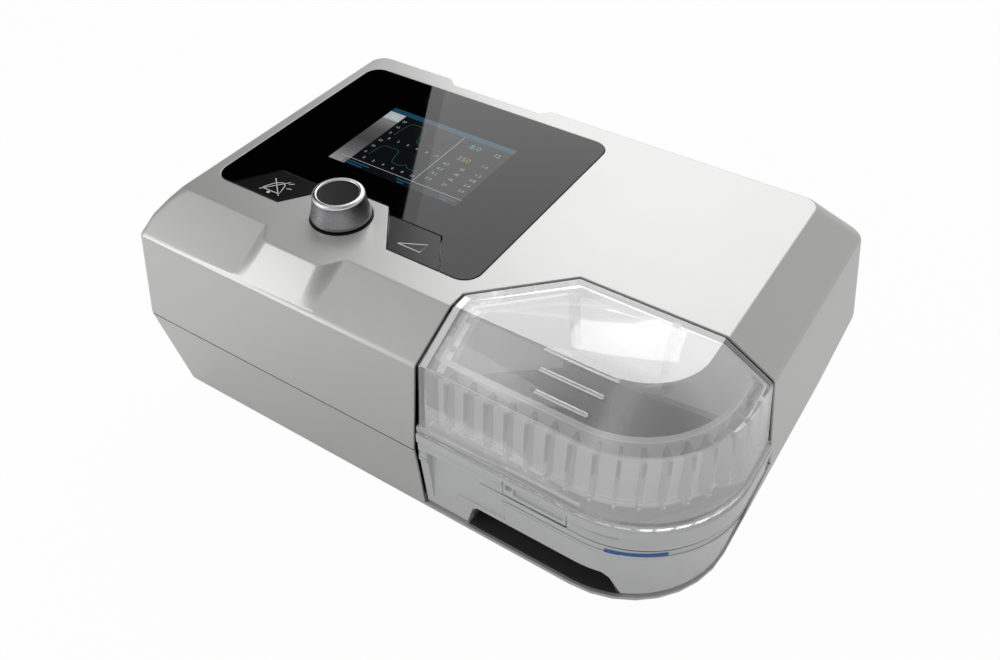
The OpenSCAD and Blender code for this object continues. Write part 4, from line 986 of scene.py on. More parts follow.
    def dress(self, frame: Dict[str, Any]) -> None:
        """Finishes glass and keys and draws the picture and marks.
        """
        SolidCopies.copy(frame, ["display_lens"], "panel_glass", Finishes.GLASS, "machine", self.glass_edge)
        for node, body in (("mute_key", "mute_button"), ("ramp_key", "ramp_button")):
            SolidCopies.copy(frame, [node], f"{node}_cap", Finishes.KEY_DARK, body, self.key_edge)
        self.picture()
        bell = [[-101.0, -43.2], [-99.9, -40.2], [-98.0, -37.2], [-95.4, -35.6], [-93.3, -36.6],
                [-92.2, -39.6], [-91.3, -43.0], [-101.0, -43.2]]
        cross = [[[-100.7, -34.6], [-90.6, -44.2]], [[-101.6, -44.6], [-92.6, -33.6]]]
        sound = [[[-92.4, -35.2], [-90.4, -33.6]], [[-91.2, -38.2], [-88.8, -37.4]]]
        self.mark("mute_mark", [bell, *cross, *sound], 0.4, "mute_button", [(-96.3, -44.4, 0.8)])
        wedge = [[-26.2, -42.2], [-14.6, -36.4], [-14.6, -42.2], [-26.2, -42.2]]
        self.mark("ramp_mark", [wedge], 0.45, "ramp_button")


@dataclass
class TurnKnob:
    """The turned knob: flared skirt, a rim with a painted highlight, and black disc."""

    centre: Tuple[float, float] = (-57.9, -40.2)
    foot: float = 104.8
    height: float = 11.7
    foot_r: float = 13.2
    top_r: float = 11.1
    cap_r: float = 9.0
    crown: float = 1.3
    bulge: float = 0.3
    lip: float = 0.5
    rim: float = 1.25
    well: float = 2.6
    hollow: float = 2.0

    def skirt(self) -> bpy.types.Object:
        """The metal shell: its side is a hollow curve, r = top + (foot - top)(1 - s) to the 1.5.

        Returns:
            The shell with its rim.
        """
        s = np.linspace(0, 1, 40)
        narrow = self.top_r + 0.35
        flare = (self.foot_r - 0.35 - self.top_r) * (1 - s) ** 1.5
        side = np.c_[narrow + flare, 1.5 + s * (self.height - 3.2)]
        lip = Surface.arc((self.foot_r - self.lip, self.lip), self.lip, np.linspace(-QUARTER, 0, 6))
        band = np.array([[self.foot_r, 1.1], [self.foot_r - 0.08, 1.35]])
        b = np.linspace(0, QUARTER, 8)
        crown = np.c_[self.top_r - self.crown + (self.crown + self.bulge) * np.cos(b),
                      self.height - self.crown + self.crown * np.sin(b)]
        cap, top = self.cap_r, self.height
        inner = np.array([[cap + 0.45, top], [cap + 0.1, top - 0.3], [cap, top - 0.6], [cap, top - self.well],
                          [0, top - self.well]])
        under = np.array([[0, self.hollow], [self.foot_r - 2, self.hollow], [self.foot_r - 2, 0]])
        profile = np.vstack([under, lip, band, side, crown, inner])
        solid = Surface.turned(profile, (*self.centre, self.foot), 160)
        piece = Surface.build("knob_skirt", solid, Finishes.KNOB)
        # Painted highlight: the rim's faces get a much lighter copy of the knob's metal
        piece.data.materials.append(Finishes.RIM_HIGHLIGHT.material())
        centres = np.zeros(len(piece.data.polygons) * 3)
        piece.data.polygons.foreach_get("center", centres)
        x, y, z = centres.reshape(-1, 3).T / MM
        far = np.hypot(x - self.centre[0], y - self.centre[1])
        rim = (z > self.foot + self.height - self.rim) & (far > self.cap_r + 0.02)
        piece.data.polygons.foreach_set("material_index", rim.astype(np.int32))
        return Surface.fit(piece, "knob", "knob_metal", "knob_shell")

    def disc(self) -> bpy.types.Object:
        """The black disc in the rim, a shallow dish: its height rises with the square of the radius.

        Returns:
            The disc.
        """
        cap, floor = self.cap_r, self.height - self.well
        r = np.linspace(0, cap - 0.6, 24)
        dish = np.c_[r, floor + 1.72 + 0.33 * (r / cap) ** 2]
        edge = np.array([[cap - 0.35, floor + 2.1], [cap - 0.1, floor + 2.0], [cap, floor + 1.8],
                         [cap, floor], [0, floor]])
        solid = Surface.turned(np.vstack([dish, edge]), (*self.centre, self.foot), 128)
        piece = Surface.build("knob_disc", solid, Finishes.CAP)
        return Surface.fit(piece, "knob", "black_plastic", "knob_cap")

    def dress(self) -> None:
        """Builds the knob's pieces."""
        self.skirt()
        self.disc()


@dataclass
class WaterChamber:
    """The clear chamber: lid with skirt, ribs and frame, tub with its foot, latch and level line.

    The bay is its left wall, its rear wall and the length of its slanting corner. The skirt is
    its right side, its front and the radius of its round corner. The roof's rim is a distance
    from the roof's middle, the height there and the slope up from it. The tub's taper is how far
    its wall leans in from its top height over that run.
    """

    edge: float = 0.5
    latch_edge: float = 0.3
    wall: float = 2.2
    bay: Tuple[float, float, float] = (14.6, -19.5, 34.0)
    skirt: Tuple[float, float, float] = (126.3, -79.6, 43.0)
    skirt_left: float = 21.6
    skirt_cut: float = -56.4
    skirt_foot: float = 58.5
    rib: float = 1.5
    rib_foot: float = 62.3
    rib_pitch: float = 9.0
    rib_start: float = 4.75
    rib_turn: float = 90 / 8.6
    rib_reach: Tuple[float, float, float, float] = (6.2, 6.4, 5.0, 3.6)
    roof_mid: Tuple[float, float] = (83.4, -34.7)
    roof_flat: float = 101.8
    roof_rim: Tuple[float, float, float] = (47.8, 90.68, 0.5435)
    crest: float = -61.6
    lid_top: float = 104.0
    frame_y: float = -24.6
    frame_bar: float = 3.2
    wall_planes: Tuple[float, float] = (-23.0, -22.8)
    pane_planes: Tuple[float, float] = (23.1, 23.3)
    shade_sheet_levels: Tuple[float, float] = (61.2, 61.6)
    grip_levels: Tuple[float, float] = (6.32, 6.6)
    rail: float = 0.4
    rail_levels: Tuple[float, float] = (60.4, 62.6)
    bead: float = 0.5
    bead_levels: Tuple[float, float] = (64.6, 67.2)
    sheet: float = 0.2
    line_z: float = 43.2
    tub_taper: Tuple[float, float, float] = (4.5, 47.0, 44.0)

    def plan(self, right: float, front: float, radius: float, inset: float) -> Array:
        """The chamber's outline: left and rear follow the bay, the front right corner is round.

        Args:
            right: place of the right side.
            front: place of the front.
            radius: radius of the front right corner.
            inset: distance from the bay's walls.

        Returns:
            Points of the outline, the same number at every level.
        """
        x0, y1 = self.bay[0] + inset, self.bay[1] - inset
        cut = self.bay[2] - (2 - math.sqrt(2)) * inset
        corners = [[x0, front], [right, front], [right, y1], [x0 + cut, y1], [x0, y1 - cut]]
        return Surface.rounded(corners, [1.2, radius, 1.2, 1.5, 1.5], [5, 48, 5, 5, 5])

    def roof(self, x: Array, y: Array) -> Array:
        """Height under the lid: it falls from the flat with the distance from the round corner's middle."""
        far = np.hypot(np.maximum(x - self.roof_mid[0], 0), np.maximum(self.roof_mid[1] - y, 0))
        rim, high, grade = self.roof_rim
        return np.minimum(self.roof_flat, high + (rim - far) * grade)

    def skirt_arc(self, beyond: float, angle: Array) -> Array:
        """Points round the skirt's corner, at that distance outside it."""
        right, front, radius = self.skirt
        return Surface.arc((right - radius, front + radius), radius + beyond, angle)

    def lid_shell(self) -> Solid:
        """The lid's outer shell: one outline a level, up the inside and down the outside.

        A level is its height, right side, front, radius of the round corner and distance from
        the bay. A bend between three levels is (1 - t)2 a + 2 t (1 - t) b + t2 c.

        Returns:
            Points and faces.
        """
        g = self.wall
        inner = [(58.0, 137.87 - g, -89.36 + g, 48 - g, 1 + g),
                 (89.6, 133.3 - g, -86.6 + g, 50 - g, 1 + g),
                 (90.7, 132.8 - g, -85.8 + g, 50 - g, 1 + g),
                 (101.4, 112.2 - 0.3 * g, -61.7 + 0.3 * g, 27.6, 1 + g),
                 (self.roof_flat, 111.2 - 0.3 * g, -60.6 + 0.3 * g, 26.6, 1.6 + g)]
        flange = [(58.0, 138.77, -90.56, 48.9, 1), (58.35, 139.1, -91.0, 50.0, 1),
                  (60.4, 139.1, -91.0, 50.0, 1), (60.8, 138.7, -90.6, 49.6, 1),
                  (61.0, 137.6, -89.3, 48.3, 1)]
        foot, knee = np.array([61.4, 137.3, -89.0, 48.1, 1.0]), np.array([91.7, 133.2, -86.4, 50.0, 1.0])
        top = np.array([self.lid_top, 112.1, self.crest, 28.0, 1.0])
        t = np.linspace(0, 1, 7)[:, None]

        def bend(a: Array, b: Array, c: Array) -> Array:
            """A smooth bend from a to c that would meet at b."""
            return (1 - t) ** 2 * a + 2 * t * (1 - t) * b + t * t * c

        up, slope = (knee - foot) / 30.0, (top - knee) / 24.0
        shoulder = bend(knee - up * 1.1, knee, knee + slope * 1.1)
        crown = bend(top - slope * 0.9, top, top + [0, -0.9, 0.9, -0.9, 0])
        crown[:, 4] += [0, 0.0, 0.03, 0.1, 0.22, 0.4, 0.7]
        rows = np.vstack([inner[::-1], flange, foot, shoulder, crown])
        rings = [(self.plan(*row[1:]), row[0]) for row in rows]
        return Surface.tube(np.stack([np.c_[plan, np.full(len(plan), z)] for plan, z in rings]))

    def ribs(self) -> Solid:
        """The ribs between skirt and wall: flat plates that end at the roof's height over the wall.

        Returns:
            Points and faces.
        """
        right, front, radius = self.skirt
        mx, my = right - radius, front + radius
        x = mx - self.rib / 2 - self.rib_pitch * np.arange(7)
        a = np.radians(-90 + np.arange(1, 9) * self.rib_turn)
        y_right = my + self.rib_start + self.rib_pitch * np.arange(2)
        y_left = front + self.rib_start + self.rib_pitch * np.arange(3)
        d = 4.0 + 7.2 * np.arange(3)
        xd, yd = self.skirt_left + d, self.skirt_cut + d
        x_right, x_left = 0 * y_right + right, 0 * y_left + self.skirt_left
        ahead, aside, leftwards, slanting = self.rib_reach
        ends = np.vstack([np.c_[x, 0 * x + front, x, 0 * x + front - ahead],
                          np.hstack([self.skirt_arc(0, a), self.skirt_arc(ahead, a)]),
                          np.c_[x_right, y_right, x_right + aside, y_right],
                          np.c_[x_left, y_left, x_left - leftwards, y_left],
                          np.c_[xd, yd, xd - slanting, yd + slanting]]).reshape(-1, 2, 2)
        side = Surface.left_of(ends[:, 1] - ends[:, 0], self.rib / 2)
        plan = np.stack([ends[:, 0] - side, ends[:, 0] + side, ends[:, 1] + side, ends[:, 1] - side], 1)
        high = self.roof(plan[..., 0], plan[..., 1]).min(1) - 0.05
        return Surface.joined([Surface.plate(p, self.rib_foot, h) for p, h in zip(plan, high)])

    def skirt_wall(self) -> Solid:
        """The inner skirt: a thin wall along the outline, from its foot up to the roof.

        Returns:
            Points and faces.
        """
        right, front, _ = self.skirt
        corner = np.array([self.skirt_left, self.skirt_cut])
        s = np.linspace(0, 1, 12)[:, None]
        slant = np.array([48.5, -29.5]) * (1 - s) + corner * s
        left = corner * (1 - s) + np.array([self.skirt_left, front]) * s
        path = np.vstack([slant, left[1:], self.skirt_arc(0, np.linspace(-QUARTER, 0, 40)), [[right, -26.5]]])
        inner = path + Surface.beside(path, self.rib)
        low = np.full(len(path), self.skirt_foot)
        high = [self.roof(p[:, 0], p[:, 1]) for p in (path, inner)]
        return Surface.tube(np.stack([np.c_[path, low], np.c_[path, high[0]], np.c_[inner, high[1]],
                                      np.c_[inner, low]], 1))

    def window_frame(self) -> Solid:
        """The frame on the rear wall: two posts and a foot bar with round corners.

        Returns:
            Points and faces.
        """
        x0, x1, foot, top, r = 47.1, 92.9, 64.0, 101.9, 6.0
        a = np.linspace(0, QUARTER, 8)
        left = Surface.arc((x0 + r, foot + r), r, a + math.pi)
        right = Surface.arc((x1 - r, foot + r), r, a - QUARTER)
        xz = np.vstack([[[x0, top]], left, right, [[x1, top]]])
        path = np.c_[xz[:, 0], np.full(len(xz), self.frame_y), xz[:, 1]]
        return Surface.carried(path, Surface.bar(self.frame_bar, self.frame_bar), (0, 1, 0))

    def back_wall(self) -> Solid:
        """The milky rear wall round the air window: an outer and an inner outline on two planes.

        Returns:
            Points and faces.
        """
        steps = [6, 6, 6, 3, 6]
        outer = Surface.rounded([[50.5, 62.4], [131.0, 62.4], [131.0, 91.0], [112.0, 101.7], [50.5, 101.7]],
                                [1.0] * 5, steps)
        inner = Surface.rounded([[54.0, 68.0], [86.0, 68.0], [86.2, 80.0], [86.0, 93.0], [54.0, 93.0]],
                                [4.0, 4.0, 1.0, 4.0, 4.0], steps)
        front, rear = self.wall_planes
        rings = [np.c_[o[:, 0], np.full(len(o), y), o[:, 1]] for o, y in
                 ((outer, front), (outer, rear), (inner, rear), (inner, front))]
        return Surface.grid(np.stack(rings), True, True)

    def window(self) -> Solid:
        """The pale window in the milky wall: a plate with round corners that stands upright.

        Returns:
            Points and faces.
        """
        corners = [[53.6, 67.6], [86.4, 67.6], [86.4, 93.4], [53.6, 93.4]]
        outline = Surface.rounded(corners, [4.4] * 4, [8] * 4)
        pts, faces = Surface.plate(outline, *self.pane_planes)
        return pts[:, [0, 2, 1]] * [1, -1, 1], faces

    def inner_shade_sheet(self) -> Solid:
        """Painted shade in the chamber: a dark see-through plate across the skirt's foot, over the water,
        that darkens what shows through the lid.

        Returns:
            Points and faces.
        """
        corners = [[22.6, -78.5], [125.0, -78.5], [125.0, -25.5], [52.0, -25.5], [22.6, -54.9]]
        outline = Surface.rounded(corners, [1.0, 42.0, 1.0, 1.0, 1.0], [3, 24, 3, 3, 3])
        return Surface.plate(outline, *self.shade_sheet_levels)

    def bay_shade_sheets(self) -> Solid:
        """The bay's painted shade: thin black sheets on the bay's walls, where the gap and the space behind
        the chamber lie in shade, that end just inside the case's outline.

        One covers the rear wall, one runs along the top of the left and slanting walls, and one
        along the front edge of the left wall. A sheet is columns of points and the same columns
        shifted inwards.

        Returns:
            Points and faces.
        """
        level, high = np.array([12.5, 47.0, 91.2, 103.1]), np.array([101.4, 103.1])
        front, depth = np.array([-87.4, -91.0, -86.0, -61.4]), np.array([0.8, 1.0, 1.1, 1.1])
        right = np.array([135.4, 139.4, 132.6, 112.0])
        x0, y1, cut = self.bay
        left, rear, s = x0 + 0.1, y1 - 0.1, self.sheet

        def column(x: Any, y: Any, z: Array) -> Array:
            """One column of points, at places that are numbers or arrays."""
            return np.stack(np.broadcast_arrays(x, y, z), -1)

        sheets = [([column(x0 + cut, rear, level), column(right, rear, level)], [[0, -s, 0], [0, -s, 0]]),
                  ([column(left, [-66.0, -61.4], high), column(left, y1 - cut, high),
                    column(x0 + cut, rear, high)], [[s, 0, 0], [s, -s / 2, 0], [s / 2, -s, 0]]),
                  ([column(left, front, level), column(left, front + depth, level)], [[s, 0, 0], [s, 0, 0]])]
        parts = []
        for columns, shift in sheets:
            face = np.stack(columns)
            back = (face + np.array(shift)[:, None])[:, ::-1]
            parts.append(Surface.tube(np.concatenate([face, back], 1)))
        return Surface.joined(parts)

    def grip_shade_plate(self) -> Solid:
        """Painted shade in the finger recess: a thin dark plate over the tray that follows the recess's
        sides.

        Returns:
            Points and faces.
        """
        arc = Surface.arc((87.4, -38.6), 47.7, np.linspace(-QUARTER, -1.125, 12))
        outline = np.vstack([[[37.4, -70.5], [37.4, -86.3]], arc, [[108.0, -70.5]]])
        return Surface.plate(outline, *self.grip_levels)

    def skirt_glints(self) -> Solid:
        """Painted highlights on the skirt: thin white round bars along its upper edge and its foot stand in
        for its bright lines.

        Returns:
            Points and faces.
        """
        right, front, radius = self.skirt
        x = np.linspace(self.skirt_left, right - radius, 20)[:-1]
        corner = self.skirt_arc(0, np.linspace(-QUARTER, 0, 40))
        path = np.vstack([np.c_[x, 0 * x + front], corner, [[right, -27.0]]])
        level = np.zeros(len(path))
        top = self.roof(path[:, 0], path[:, 1]) - 0.5
        heights = (top, *(level + z for z in self.rail_levels))
        rail = Surface.circle(self.rail, 8)
        return Surface.joined([Surface.carried(np.c_[path, z], rail) for z in heights])

    def roof_strips(self, places: Sequence[Tuple[float, float, float, float]], drop: float) -> Solid:
        """Thin flat strips that follow the roof: each is a band between two planes along y.

        Args:
            places: left, right, front and rear of each.
            drop: how far their tops lie under the roof.

        Returns:
            Points and faces.
        """
        parts = []
        for x0, x1, y0, y1 in places:
            y = np.linspace(y0, y1, 24)
            high = self.roof(0 * y, y) - drop
            corners = ((x0, high), (x1, high), (x1, high - 0.3), (x0, high - 0.3))
            parts.append(Surface.tube(np.stack([np.c_[0 * y + x, y, z] for x, z in corners], 1)))
        return Surface.joined(parts)

    def grip_bars(self) -> Solid:
        """Three flat bars with round ends on the lid's slope.

        Each is a capsule: a ring whose radius falls with the cosine of the end's angle, pressed flat.

        Returns:
            Points and faces.
        """
        tilt = math.atan2(12.3, 24.8)
        s = np.linspace(-QUARTER, QUARTER, 16)
        b = np.linspace(0, 2 * math.pi, 16, endpoint=False)
        u, v = np.cos(s)[:, None] * np.cos(b), np.cos(s)[:, None] * np.sin(b) * 0.75 - 0.05
        parts = []
        for x0, x1, down in ((58.0, 88.0, 0.4), (60.0, 85.5, 8.4), (62.5, 83.5, 16.8)):
            x = (np.where(s < 0, x0, x1) + np.sin(s))[:, None] + 0 * b
            y = self.crest - down * math.cos(tilt) + u * math.cos(tilt) - v * math.sin(tilt)
            z = self.lid_top - down * math.sin(tilt) + u * math.sin(tilt) + v * math.cos(tilt)
            parts.append(Surface.grid(np.stack([x, y, z], -1), False, True))
        return Surface.joined(parts)

    def beads(self) -> Solid:
        """Painted highlights: two small white beads at the foot of each rib, on the wall's inside, stand in
        for glints there; each is a small ball on a grid of angles.

        Returns:
            Points and faces.
        """
        right, front, radius = self.skirt
        x = right - radius - self.rib / 2 - self.rib_pitch * np.arange(6)
        a = np.radians(-90 + np.arange(1, 8) * self.rib_turn)
        spots = np.vstack([np.c_[x, 0 * x + front - 7.1], self.skirt_arc(7.3, a)])
        s, b = np.linspace(0, math.pi, 7)[:, None], np.linspace(0, 2 * math.pi, 10, endpoint=False)
        ball = self.bead * np.stack([np.sin(s) * np.cos(b), np.sin(s) * np.sin(b), np.cos(s) + 0 * b], -1)
        return Surface.joined([Surface.grid(ball + [*spot, z], False, True)
                               for z in self.bead_levels for spot in spots])

    def level_line(self) -> Solid:
        """The blue level line on the tub's round corner: a flat strip that follows the wall.

        Returns:
            Points and faces.
        """
        a = np.radians(np.linspace(-77, -48, 24))
        lean, top, run = self.tub_taper
        taper, radius = lean * (top - self.line_z) / run, 48.0
        middle = (140.5 - taper - 0.9 - radius, -92 + taper + 1.4 + radius)
        path = np.c_[Surface.arc(middle, radius + np.where(a < -1.22, 0.5, 0.36), a),
                     self.line_z + np.linspace(-0.4, 0.4, len(a))]
        out, up = np.c_[np.cos(a), np.sin(a), 0 * a] * 0.05, np.array([0, 0, 0.9])
        return Surface.tube(np.stack([path - out - up, path + out - up, path + out + up, path - out + up], 1))

    def dress(self, frame: Dict[str, Any]) -> None:
        """Builds the lid and rounds the tub and the latch.
        """
        cells = [(22.4, 25.4, y0, y1) for y0, y1 in
                 ((-83.0, -75.0), (-72.6, -63.6), (-60.6, -56.4), (-53.6, -49.0), (-46.4, -42.4))]
        lid = [("lid_shell", self.lid_shell(), Finishes.CLEAR, True),
               ("lid_ribs", Surface.joined([self.ribs(), self.window_frame()]), Finishes.RIB, False),
               ("lid_skirt", self.skirt_wall(), Finishes.SKIRT, False),
               # Painted highlights: white bars along the skirt's edges
               ("lid_skirt_rim", self.skirt_glints(), Finishes.GLINT_WHITE, True),
               ("lid_back_wall", self.back_wall(), Finishes.MILK, False),
               ("lid_air_window", self.window(), Finishes.PANE, False),
               ("lid_side_band", self.roof_strips([(19.8, 27.6, -83.6, -41.0)], 1.0), Finishes.BAND, False),
               # Painted reflection: white strips under the roof make the cells between the left ribs light
               ("lid_cell_reflections", self.roof_strips(cells, 0.6), Finishes.GLINT_WHITE, False),
               # Painted highlight: a white strip inside the lid's left wall, along its edge
               ("lid_edge_highlight", self.roof_strips([(16.0, 18.8, -84.6, -54.0)], -1.5), Finishes.GLINT_WHITE, False),
               # Painted shade: a dark see-through plate inside the lid
               ("lid_inner_plate", self.inner_shade_sheet(), Finishes.CHAMBER_SHADE, False),
               ("lid_grip_bars", self.grip_bars(), Finishes.CLEAR, True),
               # Painted highlights: white beads at each rib's foot
               ("lid_glint_beads", self.beads(), Finishes.GLINT_WHITE, True)]
        for name, solid, finish, smooth in lid:
            Surface.fit(Surface.build(name, solid, finish, smooth), "lid", "clear_plastic", "chamber_lid")
        SolidCopies.copy(frame, ["chamber_tub", "tub_foot"], "clear_tub", Finishes.TUB, "chamber", self.edge,
                         "clear_plastic")
        for name, solid, finish, body, slot in (
                # Painted shade: a dark plate over the tray, deep in the finger recess
                ("grip_shade_plate", self.grip_shade_plate(), Finishes.GRIP, "chamber", "black_plastic"),
                # Painted shade: black sheets on the bay's walls
                ("bay_shade_sheets", self.bay_shade_sheets(), Finishes.BAY_SHADE, "machine", "black_plastic"),
                ("level_line", self.level_line(), Finishes.LINE, "chamber", "clear_plastic")):
            Surface.fit(Surface.build(name, solid, finish, smooth=False), body, slot)
        SolidCopies.copy(frame, ["lid_latch"], "latch_tab", Finishes.TUB, "latch", self.latch_edge,
                         "clear_plastic")


@dataclass
class HeaterDock:
    """The coil springs under the heater plate."""

    middle: Tuple[float, float] = (82.5, -43.0)
    half: Tuple[float, float] = (26.5, 9.0)
    foot: float = 6.0
    height: float = 3.2
    travel: float = 1.0
    radius: float = 2.6
    wire: float = 0.28
    turns: int = 4

    def dress(self) -> None:
        """Winds the springs: x = r cos a, y = r sin a, z rises evenly with the angle a."""
        a = np.linspace(0, 2 * math.pi * self.turns, 20 * self.turns)
        rise = self.foot + self.wire + (self.height - 2 * self.wire) * a / a[-1]
        spots = [np.add(self.middle, np.multiply(self.half, (sx, sy))) for sx in (-1, 1) for sy in (-1, 1)]
        coils = [Surface.carried(np.c_[Surface.arc(spot, self.radius, a), rise], Surface.circle(self.wire, 8))
                 for spot in spots]
        piece = Surface.build("coil_springs", Surface.joined(coils), Finishes.STEEL)
        Surface.fit(piece, "machine", "steel", "heater_springs")
        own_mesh(piece)


@dataclass
class Studio:
    """Camera, floor and soft light, in metres.

    The ambient is the sky's strength. The softbox and the two lamps are given by their power.
    The clear and the gloss floor are the shares of plain white that camera and gloss see.
    """

    eye: Place = (0.18044, -0.28351, 0.35553)
    look: Place = (-0.39132, 0.60664, -0.69199)
    lens: float = 34.63
    ambient: float = 0.42
    softbox: float = 5.2
    front_lamp: float = 0.25
    side_lamp: float = 0.34
    clear_floor: float = 0.97
    gloss_floor: float = 0.4
    shadow_spot: Place = (-0.02, -0.14, 0.0)
    shadow_reach: Tuple[float, float] = (0.03, 0.24)
    sky_gloss: float = 0.6
    sky_band: Tuple[float, float] = (0.2, 0.6)

    def camera(self) -> None:
        """Sets the camera at the photograph's angle."""
        data = bpy.data.cameras.new("camera")
        data.lens, data.sensor_width, data.sensor_fit = self.lens, 36.0, "HORIZONTAL"
        data.clip_start, data.clip_end = 0.01, 20
        shot = bpy.data.objects.new("camera", data)
        back = -Vector(self.look).normalized()
        right = Vector((0, 0, 1)).cross(back).normalized()
        turn = Matrix((right, back.cross(right), back)).transposed()
        shot.matrix_world = Matrix.Translation(self.eye) @ turn.to_4x4()
        bpy.context.scene.collection.objects.link(shot)
        bpy.context.scene.camera = shot

    def floor(self) -> None:
        """A pale floor that keeps the object's shadow: the camera sees it all but white.

        Gloss sees part of that white, less of it near one spot: a painted shadow, since the machine's front
        mirrors the floor close to it, which lies in the machine's shade towards the right.
        """
        half = 4.0
        outline = np.array([[-half, -half], [half, -half], [half, half], [-half, half]])
        slab = Surface.plate(outline, -0.02, 0.0)
        piece = Surface.build("floor", slab, Finishes.FLOOR, smooth=False, unit=1.0)
        made = piece.data.materials[0].node_tree
        tree, path = Nodes(made), Nodes(made).add("LightPath").outputs
        seen = tree.math("MAXIMUM", path["Is Camera Ray"], path["Is Transmission Ray"])
        seen = tree.math("MULTIPLY", seen, self.clear_floor)
        # Painted shadow: gloss sees less of the white near one spot in front of the machine
        far = tree.add("VectorMath", {0: tree.add("TexCoord").outputs["Object"], 1: self.shadow_spot},
                       operation="DISTANCE")
        near, clear = self.shadow_reach
        shadow_share = tree.add("MapRange", {"Value": far.outputs["Value"], "From Min": near, "From Max": clear,
                                    "To Min": 0.0, "To Max": 1.0})
        gloss = tree.math("MULTIPLY", path["Is Glossy Ray"], self.gloss_floor)
        gloss = tree.math("MULTIPLY", gloss, shadow_share.outputs[0])
        white = tree.add("Emission", {"Strength": 1.0})
        mix = tree.add("MixShader", {0: tree.math("MAXIMUM", seen, gloss),
                                     1: made.nodes["Principled BSDF"].outputs[0], 2: white.outputs[0]})
        tree.fill(made.nodes["Material Output"], {"Surface": mix.outputs[0]})

    def world(self) -> None:
        """An even sky, white to the camera and through glass; gloss sees it white low down only."""
        world = bpy.data.worlds.new("studio")
        bpy.context.scene.world = world
        world.use_nodes = True
        made = world.node_tree
        tree, path = Nodes(made), Nodes(made).add("LightPath").outputs
        plain = tree.fill(made.nodes["Background"], {"Strength": self.ambient, "Color": (1, 1, 1, 1)})
        seen = tree.math("MAXIMUM", path["Is Camera Ray"], path["Is Transmission Ray"])
        up = tree.add("SeparateXYZ", {0: tree.add("TexCoord").outputs["Generated"]}).outputs["Z"]
        start, stop = self.sky_band
        low = tree.add("MapRange", {"Value": up, "From Min": start, "From Max": stop,
                                    "To Min": self.sky_gloss, "To Max": 0.0})
        gloss = tree.math("MULTIPLY", low.outputs[0], path["Is Glossy Ray"])
        white = tree.add("Background", {"Strength": 1.0})
        mix = tree.add("MixShader", {0: tree.math("MAXIMUM", seen, gloss), 1: plain.outputs[0],
                                     2: white.outputs[0]})
        tree.fill(made.nodes["World Output"], {"Surface": mix.outputs[0]})

    def facing(self, distance: float, right: float, up: float, turn: float, flip: bool) -> Matrix:
        """A place square to the line that the top face reflects.

        Args:
            distance: distance from the origin.
            right: shift to the right, seen from the origin.
            up: shift upwards.
            turn: turn about its own axis in degrees.
            flip: whether its own -Z looks back at the machine, as a lamp's does.

        Returns:
            The place and turn.
        """
        ray = Vector((self.look[0], self.look[1], -self.look[2])).normalized()
        side = ray.cross(Vector((0, 0, 1))).normalized()
        rise = side.cross(ray).normalized()
        basis = Matrix((-side, rise, ray) if flip else (side, rise, -ray)).transposed()
        spot = Matrix.Translation(ray * distance + side * right + rise * up)
        return spot @ basis.to_4x4() @ Matrix.Rotation(math.radians(turn), 4, "Z")

    def card(self, name: str, size: Tuple[float, float], place: Matrix, finish: Finish) -> bpy.types.Object:
        """A flat card that gloss sees: a rectangle round its own middle, put in its place.

        Args:
            name: its name.
            size: width and height.
            place: its place and turn.
            finish: its finish.

        Returns:
            The card.
        """
        corners = np.array([[-1, -1, 0], [1, -1, 0], [1, 1, 0], [-1, 1, 0]]) * [size[0] / 2, size[1] / 2, 0]
        points = corners @ np.array(place.to_3x3()).T + np.array(place.translation)
        piece = Surface.build(name, (points, [np.arange(4)[None]]), finish, smooth=False, unit=1.0)
        piece.visible_camera = piece.visible_diffuse = piece.visible_shadow = False
        return piece

    def flag(self, name: str, spot: Place, size: float, glow: float = 0.0) -> None:
        """Places a square card that looks at the machine: a black one darkens what mirrors it.

        Only gloss sees it. It is clear at its rim and full at its middle, so its mirror image has
        no edge: cover = 1.25 - 1.25 times the distance from the middle over half its side.

        Args:
            name: its name.
            spot: its middle.
            size: its side.
            glow: light that it gives off.
        """
        turn = (-Vector(spot)).to_track_quat("-Z", "Y").to_matrix().to_4x4()
        finish = Finish(f"{name}_black", (0.0, 0.0, 0.0), 0.9, specular=0.0)
        piece = self.card(name, (size, size), Matrix.Translation(spot) @ turn, finish)
        piece.visible_transmission = False
        made = piece.data.materials[0].node_tree
        tree = Nodes(made)
        spread = {0: tree.add("TexCoord").outputs["Object"], 1: spot}
        far = tree.add("VectorMath", spread, operation="DISTANCE")
        cover = tree.add("Math", {0: far.outputs["Value"], 1: -2.5 / size, 2: 1.25}, operation="MULTIPLY_ADD",
                         use_clamp=True)
        tree.fill(made.nodes["Principled BSDF"], {"Alpha": cover.outputs[0], "Emission Strength": glow})

    def lamp(self, name: str, place: Matrix, size: float, power: float) -> bpy.types.Object:
        """Places a square lamp.

        Args:
            name: its name.
            place: its place and turn.
            size: its side.
            power: its power.

        Returns:
            The lamp.
        """
        data = bpy.data.lights.new(name, "AREA")
        data.shape, data.size, data.energy = "SQUARE", size, power
        piece = bpy.data.objects.new(name, data)
        bpy.context.scene.collection.objects.link(piece)
        piece.matrix_world = place
        return piece

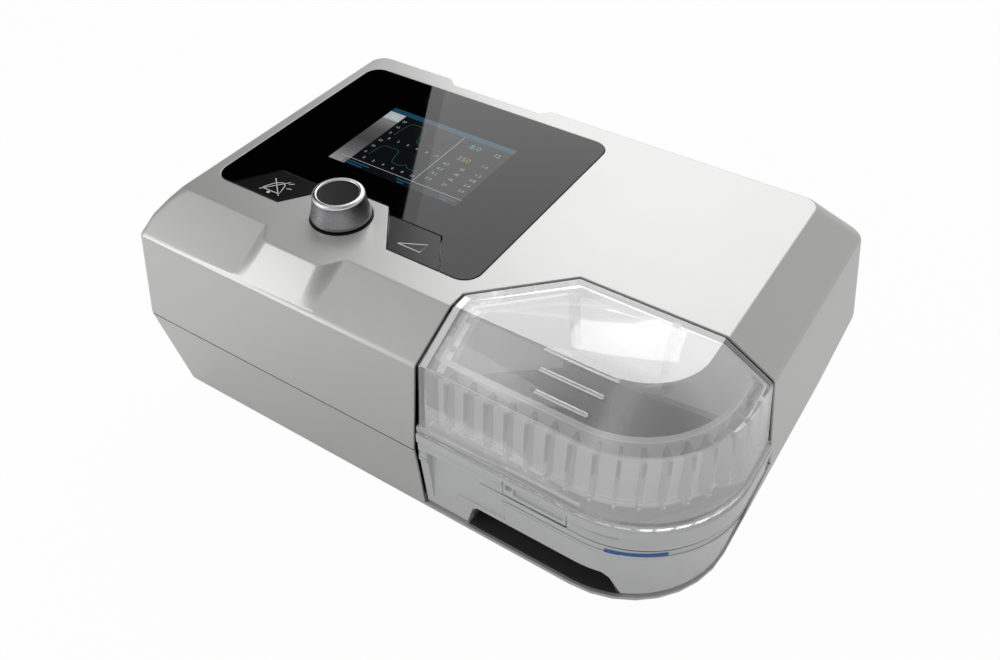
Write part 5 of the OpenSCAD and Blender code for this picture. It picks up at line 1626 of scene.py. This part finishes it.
    def dress(self) -> None:
        """Builds the studio."""
        self.camera()
        self.floor()
        self.world()
        # The reflection of the softbox ends on the glass along a slanting line
        self.lamp("softbox", self.facing(1.3, 0.326, -0.03, -12.6, True), 0.98, self.softbox)
        self.card("dark_card", (1.2, 0.92), self.facing(1.32, -0.74, -0.16, 12.6, False), Finishes.SHADE)
        for name, spot, size, glow in (("right_flag", (0.44, -0.14, 0.62), 0.7, 0.0),
                                       ("left_flag", (-0.8, 0.1, 0.24), 0.7, 0.0),
                                       ("slope_flag", (-0.38, -0.2, 0.66), 0.36, 0.0),
                                       ("lid_flag", (-0.08, -0.26, 0.64), 0.26, 0.0),
                                       ("flank_flag", (0.26, -0.27, 0.6), 0.42, 0.0),
                                       ("left_card", (-0.62, -0.16, 0.58), 0.34, 1.0),
                                       ("lid_card", (-0.25, -0.2, 0.64), 0.34, 0.8)):
            self.flag(name, spot, size, glow)
        for name, spot, aim, size, power in (
                ("front_lamp", (-0.41, -0.59, 0.75), (-0.05, -0.05, 0.08), 0.35, self.front_lamp),
                ("side_lamp", (-0.36, -0.34, 0.3), (-0.1, -0.06, 0.06), 0.2, self.side_lamp)):
            turn = (Vector(aim) - Vector(spot)).to_track_quat("-Z", "Y").to_matrix().to_4x4()
            self.lamp(name, Matrix.Translation(spot) @ turn, size, power).visible_camera = False
        bpy.context.scene.view_settings.view_transform = "Standard"


def paint_solids(frame: Dict[str, Any]) -> None:
    """Gives the solids that keep their own mesh their finish.
    """
    for finish, names in SOLID_FINISHES.items():
        for name in names:
            for slot in frame["nodes"][name].material_slots:
                slot.material = finish.material()
            LOG.info("%s: %s", name, finish.name)


def main() -> None:
    """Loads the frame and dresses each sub-assembly."""
    logging.basicConfig(level=logging.INFO, format="%(name)s %(message)s")
    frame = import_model()
    paint_solids(frame)
    CaseShell().dress(frame)
    DisplayPanel().dress(frame)
    TurnKnob().dress()
    WaterChamber().dress(frame)
    HeaterDock().dress()
    Studio().dress()


if __name__ == "__main__":
    main()
